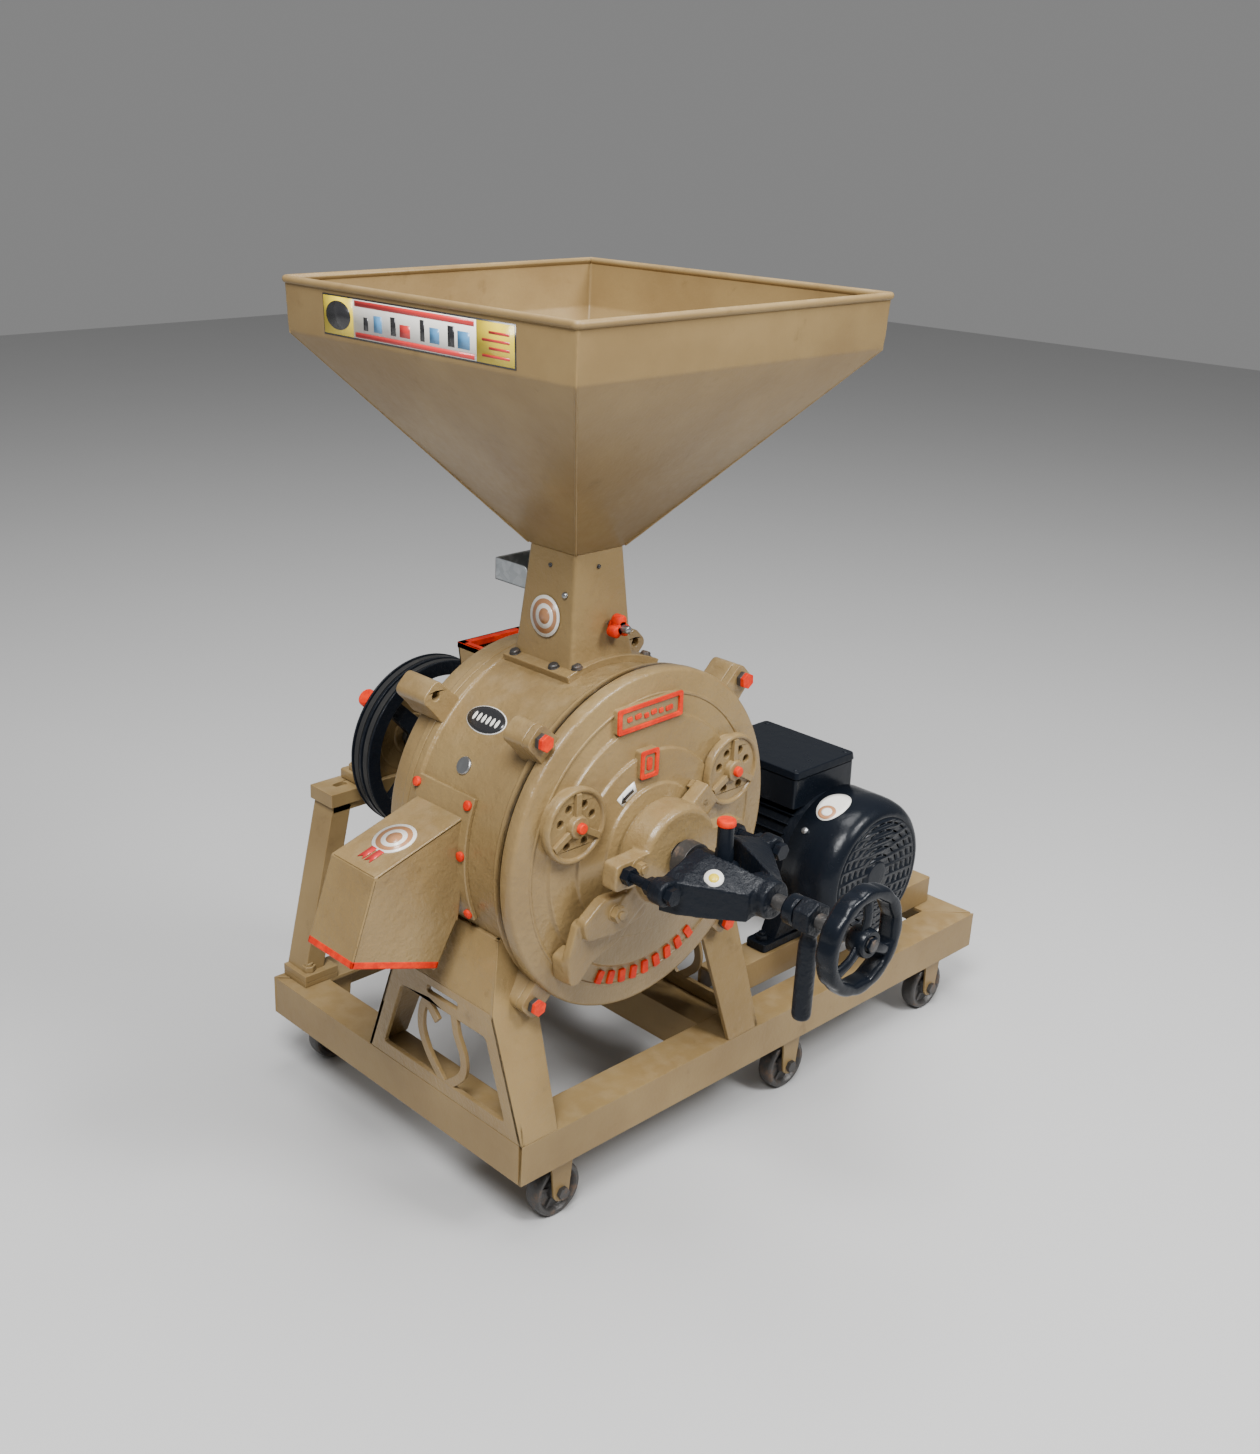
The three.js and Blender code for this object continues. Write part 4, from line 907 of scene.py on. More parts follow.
def on_barrel(degrees, y, radius=BARREL):
    """Point on the casing, and the way out of it."""
    x, z = on_circle(radius, degrees)
    return Vector((x, y, z)), Vector(on_circle(1, degrees)[:1] + (0,) + on_circle(1, degrees)[1:])


def wrapped_oval(shape, radius, degrees, y, half_turn, half_wide, lift):
    """Oval patch that lies on a round wall at every point."""
    rings = []
    for share, out in ((0.02, -1), (1, -1), (1, lift), (0.75, lift), (0.5, lift), (0.25, lift), (0.02, lift)):
        ring = []
        for turn, wide in ring_of(share, 48):
            x, z = on_circle(radius + out, degrees + math.degrees(turn * half_turn / radius))
            ring.append((x, y + wide * half_wide, z))
        rings.append(ring)
    shape.skin(rings)


def casing_badge():
    """Plain oval badge and the round plug in the casing's wall."""
    badge = Shape(AXIS).paint(WHITE)
    wrapped_oval(badge, BARREL, 133, 188, 21, 38, 0.6)
    badge.paint(INK)
    wrapped_oval(badge, BARREL, 133, 188, 19.6, 36.6, 1.2)
    badge.paint(WHITE)
    for i in range(6):
        wrapped_oval(badge, BARREL, 133, 165 + i * 9.2, 6.5, 2.6, 1.8)
    badge.made("casing_badge", soft=0)
    plug = Shape(AXIS).paint(STEEL)
    place, out = on_barrel(150, 183)
    plug.turned([(0, -6), (13, -6), (13, 1.5), (11.5, 3), (4, 3.2), (0, 2.4)], place, out, 48)
    plug.made("casing_plug", soft=0.4)


stand(-1, "stand_left")
stand(1, "stand_right")
front_shell()
rear_shell()
front_door()
door_plates()
door_stickers()
for bolt_number, bolt_angle in enumerate(LUGS):
    door_bolt(bolt_number + 1, bolt_angle)
stone_clamp(-1, "stone_clamp_left")
stone_clamp(1, "stone_clamp_right")
air_inlet()
casing_badge()


# ---- Stone adjusting gear ----


def bearing_bridge():
    """Cast bridge over the shaft: hub, an ear each side for the yoke's studs, two legs to the door."""
    back, hub_front = 7.7, -38
    bridge = Shape(AXIS).paint(CASTING)
    bridge.turned(
        [(24, back), (74, back), (74, -29), (70, -36), (66, hub_front), (24, hub_front)], segments=96
    )
    for side in (-1, 1):
        arm = [(20, -18), (20, 26), (92, 26), (126, 24), (128, -14), (94, -16)]
        bridge.plate(eased([(side * x, z) for x, z in arm], 7), hub_front, hub_front + 26)
    pad = eased([(-158, -62), (-122, -36), (-40, -40), (-40, -84), (-98, -96), (-150, -90)], 7)
    bridge.plate(pad, hub_front + 24, hub_front + 42)
    gusset = [
        (-158, -64), (-174, -116), (-168, -158), (-152, -160), (-126, -132), (-78, -118), (-44, -84),
        (-70, -56),
    ]
    bridge.plate(eased(gusset, 9), -2, 11)
    bridge.plate(eased([(-175, -118), (-168, -160), (-150, -160), (-136, -140), (-150, -108)], 8), 8, 31.4)
    for degrees, reach, shoe, seat in ((219, 120, 110, 14), (39, 108, 94, 20)):
        def at(r, t):
            return turned_outline([(r, t)], degrees)[0]
        bridge.plate(
            [at(30, -24), at(min(reach, 150), -19), at(min(reach, 150), 19), at(30, 24)], hub_front + 22, back
        )
        bridge.plate(eased([at(60, -24), at(reach, -16), at(reach, 16), at(60, 24)], 6), back - 9, back)
        bridge.plate([at(shoe, -15), at(reach, -15), at(reach, 15), at(shoe, 15)], back - 2, seat - 0.5)
    bridge.made("bearing_bridge", replaces="bearing_bridge", cast=1.8, melt=5)
    bolts = Shape(AXIS).paint(CASTING)
    for (x, z), y, size in (((-98, -62), -13, 22), (on_circle(88, 39), -1.5, 20), ((-86, 12), -38, 17)):
        bolts.turned([(0, 0), (14, 0), (14, -2.5), (0, -2.5)], (x, y + 0.5, z), segments=32)
        hex_nut(bolts, (x, y - 1.5, z), (0, -1, 0), size, 10, 6, 3)
    bolts.made("bridge_bolts", soft=0.8)
    race = Shape(AXIS).paint(STEEL)
    race.turned([(19.5, -30), (36, -30), (36, -6), (19.5, -6)], segments=64)
    race.made("front_bearing", replaces="front_bearing", soft=1.0)


def yoke():
    """Black cast yoke: an arm to each stud, ridged each side of a slot, meeting in a threaded nose."""
    root, tip, nose_end = -92, -187, -205
    black = Shape(AXIS).paint(BLACK_CAST)
    for side in (-1, 1):
        def section(inner, ridge, outer, top, bottom):
            return [
                (side * inner, ridge), (side * outer, top), (side * outer, bottom),
                (side * inner, -ridge * 0.75),
            ]
        rings = []
        for y, part in (
            (root, section(32, 46, 101, 21, -26)), (root - 24, section(28, 44, 92, 20, -27)),
            (-150, section(18, 38, 64, 17, -28)), (tip, section(8, 30, 34, 12, -28)),
        ):
            rings.append([(x, y, z) for x, z in part])
        black.skin(rings)
        black.turned(
            [(0, root), (18, root), (18, root - 22), (15, root - 24), (0, root - 24)], (side * 108, 0, 8),
            segments=40,
        )
        black.plate(rectangle(*sorted((side * 92, side * 110)), -8, 24), root - 22, root - 3)
    black.turned(
        [(0, tip + 22), (26, tip + 22), (28, tip), (27, nose_end + 3), (24, nose_end), (0, nose_end)],
        segments=64,
    )
    black.made("yoke", replaces="yoke", cast=1.9, melt=4)
    sticker = Shape(AXIS).paint(WHITE)
    face = [Vector((-34, -152, 32)), Vector((-66, -146, 17)), Vector((-52, -120, 35))]
    out = (face[1] - face[0]).cross(face[2] - face[0]).normalized()
    out = out if out.z > 0 else -out
    place = Vector((-52, -142, 24))
    sticker.turned([(0, -3), (13, -3), (13, 1), (0, 1)], place + out * 1.2, out, 40)
    sticker.paint(YELLOW).turned([(0, 0), (7, 0), (7, 1.3), (0, 1.3)], place + out * 1.2, out, 32)
    sticker.made("yoke_sticker", soft=0)


def yoke_stud(side, name):
    stud = Shape(AXIS + Vector((side * 0.108, 0, 0.008))).paint(BLACK)
    head = -92 - 24 - 0.3
    stud.rod(6.8, (0, head, 0), (0, -14, 0))
    for i in range(20):
        stud.turned(
            [(6, -91 + 2 * i), (7.1, -90.5 + 2 * i), (7.1, -90 + 2 * i), (6, -89.5 + 2 * i)], segments=32
        )
    hex_nut(stud, (0, head, 0), (0, -1, 0), 22, 11)
    hex_nut(stud, (0, -38.4, 0), (0, -1, 0), 23, 12)
    hex_nut(stud, (0, -79, 0), (0, -1, 0), 23, 10)
    stud.made(name, replaces=name, soft=0.7)


def thrust_housing():
    cage = Shape(AXIS).paint(BLACK_CAST)
    cage.turned(
        [(18, -64), (25, -64), (26, -66), (26, -123), (22, -128), (0, -128), (0, -119), (18, -119)],
        segments=64,
    )
    cage.turned([(25, -92), (27.5, -92), (27.5, -98), (25, -98)], segments=64)
    cage.paint(IRON).turned([(18, -64.5), (29, -64.5), (29, -43), (28, -42), (18, -42)], segments=64)
    cup = (0, -113, 0)
    cage.paint(BLACK).turned(
        [(0, 20), (12.6, 20), (12.6, 40), (11.4, 42), (11.4, 76), (0, 76)], cup, (0, 0, 1), 48
    )
    cage.paint(RED).turned(
        [(0, 75), (12.4, 75), (13, 76.5), (13, 82), (11.8, 84), (0, 84)], cup, (0, 0, 1), 48
    )
    cage.made("thrust_housing", "thrust_carrier", "thrust_housing", soft=0.8)


def adjusting_screw():
    """Threaded rod from the thrust cage through the yoke to the handwheel."""
    screw = Shape(AXIS).paint(IRON)
    start, end = -128.5, -362
    profile = [(0, start), (10, start)]
    y = start - 4
    while y > end + 24:
        profile += [(11, y), (9.8, y - 1.5)]
        y -= 3
    profile += [(9.5, end + 20), (9.5, end + 3), (8, end), (0, end)]
    screw.turned(profile, segments=48)
    screw.made("adjusting_screw", "adjuster", "adjusting_screw", soft=0)
    nut = Shape(AXIS).paint(BLACK)
    nut.turned([(10, -228), (19, -228), (21, -231), (21, -243), (19, -246), (10, -246)], segments=48)
    nut.made("screw_collar", "adjuster", soft=0.8)


def lock_lever():
    """Hexagon lock nut on the screw with a long round grip hanging from it."""
    lever = Shape(AXIS).paint(BLACK_CAST)
    lever.rod(25, (0, -275, 0), (0, -249, 0), 6, 30)
    lever.turned(
        [
            (0, 10), (9, 10), (9.5, -24), (12.5, -40), (13, -90), (13, -142), (11.5, -147), (7, -150),
            (0, -150),
        ],
        (0, -262, 0), (0, 0, 1), 48,
    )
    lever.made("lock_lever", "lever", "lock_lever", cast=1.7, melt=3)


def squared(share):
    """Turns the sine of a round section into that of a rounded square."""
    return math.copysign(abs(share) ** 0.62, share)


WHEEL_HEART = AXIS + Vector((0, -0.345, 0))  # middle of the handwheel, out in front of the base


def handwheel():
    """Small wheel with finger grips round its rim, three spokes and a boss."""
    wheel = Shape(WHEEL_HEART).paint(BLACK)
    rings = []
    count = 168
    for i in range(count):
        turn = 360 * i / count
        swell = 0.5 + 0.5 * math.cos(math.radians(turn * 12))
        thick = 7.6 + 2.2 * swell ** 0.6
        section = [(squared(a) * thick, squared(b) * 14) for a, b in ring_of(1, 24)]
        x, z = on_circle(1, turn)
        rings.append([((64 + a) * x, 6 + b, (64 + a) * z) for a, b in section])
    wheel.skin(rings, closed=True)
    for degrees in (90, 210, 330):
        inner, outer = on_circle(12, degrees), on_circle(58, degrees)
        c, s = on_circle(1, degrees)
        path = [
            (
                inner[0] + (outer[0] - inner[0]) * t, -3 * math.sin(t * math.pi),
                inner[1] + (outer[1] - inner[1]) * t,
            )
            for t in (0, 0.25, 0.5, 0.75, 1)
        ]
        rings = []
        for k, p in enumerate(path):
            wide = (11, 8.5, 7.5, 8, 10.5)[k]
            rings.append(
                [
                    (p[0] - s * a, p[1] + b, p[2] + c * a)
                    for a, b in [on_circle(1, 360 * j / 16) for j in range(16)]
                    for a, b in [(a * wide, b * 5)]
                ]
            )
        wheel.skin(rings)
    wheel.turned(
        [(11.4, -12), (17.5, -12), (19, -10), (20, 0), (19, 13), (17.5, 15), (11.4, 15)], segments=48
    )
    wheel.made("handwheel", "adjuster", "handwheel", soft=0.8, angle=45)
    end = Shape(WHEEL_HEART).paint(BLACK)
    hex_nut(end, (0, -12, 0), (0, -1, 0), 19, 4.5)
    end.made("handwheel_nut", "adjuster", soft=0.6)


bearing_bridge()
yoke()
yoke_stud(-1, "yoke_stud_left")
yoke_stud(1, "yoke_stud_right")
thrust_housing()
adjusting_screw()
lock_lever()
handwheel()


# ---- Shaft, pulleys and belts ----

PULLEY_Y = 508
MOTOR_RUN = Vector(((MOTOR.x - AXIS.x) * 1000, (MOTOR.z - AXIS.z) * 1000))


def groove_profile(radius):
    corners = [(radius - 1, PULLEY_Y + 23), (radius, PULLEY_Y + 22)]
    for y in (PULLEY_Y + 11, PULLEY_Y - 11):
        corners += [(radius, y + 8.5), (radius - 14, y + 6), (radius - 14, y - 6), (radius, y - 8.5)]
    return corners + [(radius, PULLEY_Y - 22), (radius - 1, PULLEY_Y - 23)]


def main_shaft():
    shaft = Shape(AXIS).paint(STEEL)
    shaft.turned([(0, -118), (15, -118), (15, -44), (19, -43), (19, 604), (17, 606), (0, 606)], segments=64)
    shaft.made("main_shaft", "mill_rotor", "main_shaft", soft=0.5)


def mill_pulley():
    pulley = Shape(AXIS).paint(BLACK_CAST)
    inner = 118
    pulley.turned(
        [
            *groove_profile(142), (inner + 2, PULLEY_Y - 23), (inner, PULLEY_Y - 21), (inner, PULLEY_Y + 21),
            (inner + 2, PULLEY_Y + 23),
        ],
        segments=128,
    )
    pulley.turned([(19.4, 481), (35, 481), (36, 483), (36, 529), (35, 531), (19.4, 531)], segments=64)
    for degrees in (45, 135, 225, 315):
        a, b = on_circle(28, degrees), on_circle(inner + 3, degrees)
        wx, wz = on_circle(1, degrees + 90)
        outline = [
            (a[0] - 16 * wx, a[1] - 16 * wz), (b[0] - 12 * wx, b[1] - 12 * wz),
            (b[0] + 12 * wx, b[1] + 12 * wz), (a[0] + 16 * wx, a[1] + 16 * wz),
        ]
        pulley.plate(outline, PULLEY_Y - 7, PULLEY_Y + 7)
    pulley.made("mill_pulley", "mill_rotor", "mill_pulley", soft=1.1, angle=25)


def motor_pulley():
    pulley = Shape(MOTOR).paint(BLACK_CAST)
    front, back = PULLEY_Y - 23, PULLEY_Y + 23
    pulley.turned(
        [
            *groove_profile(63), (44, front), (40, front + 8), (28, front + 8), (26, front), (16.3, front),
            (16.3, back),
        ],
        segments=80,
    )
    pulley.made("motor_pulley", "motor_armature", "motor_pulley", soft=0.9, angle=25)


def belt(name, y):
    """Wedge section belt round both pulleys."""
    run = MOTOR_RUN.length
    heading = math.degrees(math.atan2(MOTOR_RUN.y, MOTOR_RUN.x))
    wrap = math.degrees(math.acos((142 - 63) / run))
    loop = Shape(AXIS).paint(RUBBER)
    rings = []
    centres = [
        ((0, 0), 141, heading + wrap, heading + 360 - wrap, 72),
        (tuple(MOTOR_RUN), 62, heading - wrap, heading + wrap, 36),
    ]
    for centre, radius, start, end, steps in centres:
        for i in range(steps + 1):
            cx, cz = on_circle(1, start + (end - start) * i / steps)
            rings.append([
                (centre[0] + (radius - depth) * cx, y + across, centre[1] + (radius - depth) * cz)
                for depth, across in ((0.2, -5), (0.2, 5), (11, 4), (11, -4))
            ])
    loop.skin(rings, closed=True)
    loop.made(name, replaces=name, soft=0.6)


def rear_pedestal():
    """Welded plate trestle under the rear bearing, slotted for its bolts."""
    y0, y1 = 557, 607
    foot, top = FLOOR + 0.3, -62
    plate_foot = top - 22
    inset = 72 * 22 / 320
    trestle = Shape(AXIS).paint(SHEET)
    for side in (-1, 1):
        leg = [
            (side * 226, foot), (side * (154 + inset), plate_foot), (side * (118 + inset), plate_foot),
            (side * 190, foot),
        ]
        trestle.plate(leg, y0, y1)
        xs = sorted((side * 166, side * 230))
        shoe = rectangle(*xs, y0 - 12, y1)
        trestle.plate(shoe, foot + 8, foot + 20, "XY")
        trestle.plate(shoe, foot, foot + 8, "XY")
        hex_nut(trestle, (side * 212, y0 + 4, foot + 20), (0, 0, 1), 20, 10, 7, 5)
    trestle.plate(
        [(-160, plate_foot - 14), (160, plate_foot - 14), (159, plate_foot), (-159, plate_foot)], y0, y1
    )
    slots = [eased(rectangle(side * 128 - 12, side * 128 + 12, 576, 588), 5) for side in (-1, 1)]
    trestle.plate(rectangle(-166, 166, y0 - 6, y1 + 3), plate_foot - 1, top, "XY", slots)
    trestle.made("rear_pedestal", replaces="rear_pedestal", soft=1.2)


def rear_bearing_housing():
    """Split bearing housing with cap bolts and a screw-down grease cup leaning outwards."""
    block = Shape(AXIS).paint(CASTING)
    foot = -61.7
    block.turned([(19.8, 560), (62, 560), (66, 564), (66, 600), (62, 604), (19.8, 604)], segments=80)
    block.plate(eased(rectangle(-78, 78, foot, 4), 6), 561, 603)
    block.plate(eased(rectangle(-112, 112, foot, foot + 17), 4), 562, 602)
    block.turned([(20, 556.8), (34, 556.8), (36, 561), (20, 561)], segments=48)
    lean = Vector((-1, 0, 1)).normalized()
    heart = Vector((0, 582, 0))
    block.turned([(0, 60), (10, 60), (9, 74), (9, 92), (0, 92)], heart, lean, 32)
    block.paint(RED).turned([(0, 90), (14, 90), (15, 92), (15, 103), (13, 106), (0, 107)], heart, lean, 40)
    block.paint(CASTING)
    for side in (-1, 1):
        hex_nut(block, (side * 96, 582, foot + 17), (0, 0, 1), 20, 10, 7, 5)
        hex_nut(block, (side * 70, 582, 4), (0, 0, 1), 17, 9, 5.5, 4)
    block.made("rear_bearing_housing", replaces="rear_bearing_housing", soft=1.3)


main_shaft()
mill_pulley()
motor_pulley()
belt("v_belt_front", PULLEY_Y - 11)
belt("v_belt_rear", PULLEY_Y + 11)
rear_pedestal()
rear_bearing_housing()


# ---- Hopper, neck, gate and spout ----

HOPPER_Y = 189
NECK_TOP = 393
RIM = 741
RIM_HALF = 279
BAND = 75


def square(half, z, ease=0.0, steps=3):
    outline = rectangle(-half, half, HOPPER_Y - half, HOPPER_Y + half)
    outline = eased(outline, ease, steps) if ease else outline
    return [(x, y, z) for x, y in outline]


def hopper():
    """Welded sheet hopper: four tapered sides, an upright band and a rolled rim."""
    bin_shape = Shape(AXIS).paint(SHEET)
    foot, band_foot = NECK_TOP + 0.3, RIM - BAND
    outside = [(47, foot), (275, band_foot - 1), (276.2, band_foot + 4), (RIM_HALF, RIM - 3)]
    inside = [(RIM_HALF - 3, RIM - 3), (273, band_foot + 4), (272, band_foot - 1), (44, foot)]
    rings = [square(half, z, 4) for half, z in outside + inside]
    bin_shape.skin(rings, closed=True)
    rim = square(RIM_HALF - 0.8, RIM - 7.4, 5, 4)
    bin_shape.pipe(rim, 5.0, 14, closed=True)
    for sx, sy in ((-1, -1), (1, -1), (1, 1), (-1, 1)):
        rows = []
        for half, z in ((47.5, foot), (275, band_foot), (277.5, RIM - 9)):
            rows.append((sx * (half - 0.8), HOPPER_Y + sy * (half - 0.8), z))
        path, radii = [], []
        for a, b in zip(rows, rows[1:]):
            for i in range(30):
                t = i / 30
                p = Vector(a).lerp(Vector(b), t)
                path.append(p)
                radii.append(1.6 + 0.5 * noise.noise(p * 0.09))
        bin_shape.pipe(path, radii, 8)
    bin_shape.made("hopper", replaces="hopper", soft=0.7, angle=50)


def hopper_label():
    """Long printed label on the band's left side: yellow ends, white middle, rules and plain marks."""
    label = Shape(AXIS).paint(INK)
    x = -(RIM_HALF - 1.4)

    def patch(y0, y1, z0, z1, lift):
        slope = 0.04
        ring = []
        for level in (0.0, 1.0):
            ring.append([
                (x - lift * level + (RIM - 37 - z) * slope + 0.8, y, z)
                for y, z in ((y0, z0), (y1, z0), (y1, z1), (y0, z1))
            ])
        label.skin(ring)

    y0, y1, z0, z1 = 12, 379, RIM - 66, RIM - 19
    patch(y0 - 2, y1 + 2, z0 - 2, z1 + 2, 1.3)
    label.paint(WHITE)
    patch(y0, y1, z0, z1, 1.6)
    label.paint(YELLOW)
    patch(y0, y0 + 66, z0, z1, 1.9)
    patch(y1 - 62, y1, z0, z1, 1.9)
    label.paint(CRIMSON)
    patch(y0 + 70, y1 - 66, z1 - 8, z1 - 1, 1.9)
    patch(y0 + 70, y1 - 66, z0 + 1, z0 + 7, 1.9)
    for i, (wide, tall) in enumerate(
        ((22, 20), (12, 24), (18, 18), (8, 25), (20, 15), (10, 22), (16, 20), (9, 16))
    ):
        label.paint((BLUE, INK, BLUE, INK, CRIMSON, INK, BLUE, INK)[i])
        start = y0 + 78 + i * 28
        patch(start, start + wide, z0 + 11, z0 + 11 + tall, 2.0)
    label.paint(CRIMSON)
    for i in range(4):
        patch(y0 + 8, y0 + 56 - (i % 2) * 12, z0 + 7 + i * 9, z0 + 10 + i * 9, 2.1)
    label.paint(INK)
    ring = []
    for lift in (0.5, 2.3):
        ring.append(
            [
                (x - lift + (RIM - 37 - z) * 0.04 + 0.8, y, z)
                for y, z in [
                    (y1 - 31 + 26 * math.cos(a), z0 + 24 + 18 * math.sin(a))
                    for a in [2 * math.pi * k / 40 for k in range(40)]
                ]
            ]
        )
    label.skin(ring)
    label.made("hopper_label", soft=0)


def neck_flange(shape):
    """Curved flange of the neck, following the barrel."""
    outer, inner = BARREL + 10.5, BARREL - 1
    right, left = (math.degrees(math.acos(x / (BARREL + 10))) for x in (104, -76))
    outline = [*arc(outer, right, left, 40), *arc(inner, left, right, 40)]
    shape.plate(outline, 120, 253.5)


def feed_neck():
    neck = Shape(AXIS).paint(CASTING)
    rings = [square(half, z, 7, 4) for half, z in ((63, 222), (60, 240), (57, 260), (46, NECK_TOP))]
    rings += [square(half, z, 3, 4) for half, z in ((40, NECK_TOP), (50, 222))]
    neck.skin(rings, closed=True)
    neck_flange(neck)
    neck.made("feed_neck", replaces="feed_neck", soft=1.6, steps=3, angle=40)
    bolts = Shape(AXIS).paint(IRON)
    for x, y in ((-66, 158), (-66, 238), (-52, 127), (88, 132), (90, 186), (88, 240)):
        degrees = math.degrees(math.acos(x / (BARREL + 11)))
        place, out = on_barrel(degrees, y, BARREL + 10)
        bolts.turned([(0, 0), (8.6, 0), (8.6, 1.5), (0, 1.5)], place, out, 32)
        bolts.turned([(0, 1), (7.4, 1), (7, 4.5), (5, 6), (0, 6.4)], place, out, 32)
    bolts.made("neck_flange_bolts", soft=0.5)
    # black discs: painted shade standing in for the dark inside of two screw holes in the neck
    holes = Shape(AXIS).paint(INK)
    for x, y, z, out in (
        (-4, HOPPER_Y - 48.5, 372, (0, -1, 0)), (-48.5, HOPPER_Y, 371, (-1, 0, 0)),
    ):
        holes.turned([(0, -4), (3, -4), (3, 1.2), (0, 1.2)], Vector((x, y, z)), out, 20)
    holes.made("neck_screw_hole_shade", soft=0)
    rivet = Shape(AXIS).paint(STEEL)
    rivet.turned(
        [(0, -3), (5, -3), (4.6, 1.6), (2.5, 3), (0, 3.2)], (-52, HOPPER_Y - 34, 336), (-1, 0, 0.08), 32
    )
    rivet.made("neck_rivet", soft=0)


def round_sticker(place, out, radius, marks=(COPPER, WHITE)):
    """Round printed seal: pale rim, ring and a plain centre."""
    seal = Shape(AXIS).paint(WHITE)
    out = Vector(out).normalized()
    seal.turned([(0, -1), (radius, -1), (radius, 0.5), (0, 0.5)], place, out, 64)
    seal.paint(marks[0]).turned([(0, 0), (radius * 0.84, 0), (radius * 0.84, 0.8), (0, 0.8)], place, out, 64)
    seal.paint(marks[1]).turned([(0, 0), (radius * 0.6, 0), (radius * 0.6, 1.1), (0, 1.1)], place, out, 64)
    seal.paint(marks[0]).turned([(0, 0), (radius * 0.38, 0), (radius * 0.38, 1.4), (0, 1.4)], place, out, 48)
    return seal


def feed_gate():
    """Bent galvanised slide whose tray stands out behind the neck."""
    gate = Shape(AXIS).paint(ZINC)
    z = BARREL + 86
    front, back = HOPPER_Y - 37, HOPPER_Y + 126
    tray = HOPPER_Y + 58
    gate.plate(rectangle(-38, 38, front, back), z, z + 2, "XY")
    for x in (-38, 36):
        gate.plate([(tray, z), (back, z), (back, z + 32), (tray + 6, z + 32), (tray, z + 26)], x, x + 2, "YZ")
    gate.plate(rectangle(-38, 38, z, z + 32), back - 2, back)
    gate.pipe([(-37, back - 1, z + 31), (37, back - 1, z + 31)], 1.6, 12)
    gate.made("feed_gate", "gate", "feed_gate", soft=0.6)


def feed_knob():
    """Three-lobed knob on a steel screw."""
    knob = Shape((AXIS.x + 0.016, FRONT, AXIS.z + (BARREL + 53) * 0.001)).paint(RED)
    face = HOPPER_Y - 64
    for degrees in (90, 210, 330):
        x, z = on_circle(9.5, degrees)
        knob.turned(
            [(0, face), (7.5, face), (8.5, face - 2), (8.5, face - 14), (6.5, face - 16), (0, face - 16)],
            (x, 0, z), segments=40,
        )
    knob.turned([(0, face), (9, face), (9, face - 16), (0, face - 16)], segments=40)
    knob.turned([(0, face + 5), (9, face + 5), (9, face - 1), (0, face - 1)], segments=6)
    profile = [(0, face - 28), (4.5, face - 28)]
    for i in range(9):
        profile += [(5.6, face - 27 + i * 1.5), (4.9, face - 26.2 + i * 1.5)]
    knob.paint(STEEL).turned([*profile, (5.5, face - 12), (5.5, face + 26), (0, face + 26)], segments=32)
    knob.made("feed_knob", "gate_knob", "feed_knob", soft=0)


SPOUT_FRONT, SPOUT_BACK = 150, 248
SPOUT_PROFILE = [(-221, 64), (-380, 16), (-422, -104), (-277, -155), (-239, -92), (-219, -72)]


def discharge_spout():
    """Cast spout down the casing's side, open at its slanting foot, with a painted lip."""
    spout = Shape(AXIS).paint(CASTING)
    head, brow, lip_out, lip_in, root = SPOUT_PROFILE[:5]
    wall = 5

    def inset(point, x, z):
        return (point[0] + x, point[1] + z)

    outer = [head, brow, lip_out, lip_in, root]
    inner = [
        inset(head, 0, -wall * 1.3), inset(brow, wall * 0.8, -wall), inset(lip_out, wall * 1.1, -1),
        inset(lip_in, -wall * 1.3, -1), inset(root, -wall, wall),
    ]
    for y0, y1 in ((SPOUT_FRONT, SPOUT_FRONT + wall), (SPOUT_BACK - wall, SPOUT_BACK)):
        spout.plate(outer, y0, y1)
    for i in (0, 1, 3):
        a, b = outer[i], outer[i + 1]
        c, d = inner[i + 1], inner[i]
        spout.plate([a, b, c, d], SPOUT_FRONT, SPOUT_BACK)
    flange = [*arc(BARREL + 7, 158, 203, 24), *arc(BARREL - 1, 203, 158, 24)]
    spout.plate(flange, SPOUT_FRONT - 15, SPOUT_BACK + 6)
    spout.paint(RED)
    along = (Vector(lip_in) - Vector(lip_out)).normalized()
    up = Vector((along.y, -along.x)) * -1
    lip = [Vector(lip_out) - along * 0.6, Vector(lip_in) + along * 0.6]
    band = [tuple(lip[0]), tuple(lip[1]), tuple(lip[1] + up * 11), tuple(lip[0] + up * 11)]
    for y0, y1 in (
        (SPOUT_FRONT - 0.6, SPOUT_FRONT + wall + 0.3), (SPOUT_BACK - wall - 0.3, SPOUT_BACK + 0.6)
    ):
        spout.plate(band, y0, y1)
    for end, run in ((lip[0], 1), (lip[1], -1)):
        strip = [
            tuple(end), tuple(end + along * run * (wall + 1)),
            tuple(end + along * run * (wall + 1) + up * 11), tuple(end + up * 11),
        ]
        spout.plate(strip, SPOUT_FRONT - 0.6, SPOUT_BACK + 0.6)
    spout.paint(RED)
    for degrees, y in ((161, 143), (161, 252), (178, 142), (200, 142), (200, 252)):
        place, out = on_barrel(degrees, y, BARREL + 6)
        spout.turned([(0, 0), (7, 0), (7, 5), (5, 6.5), (0, 7)], place, out, 24)
    spout.made("discharge_spout", replaces="discharge_spout", soft=2.4, steps=3, angle=25)


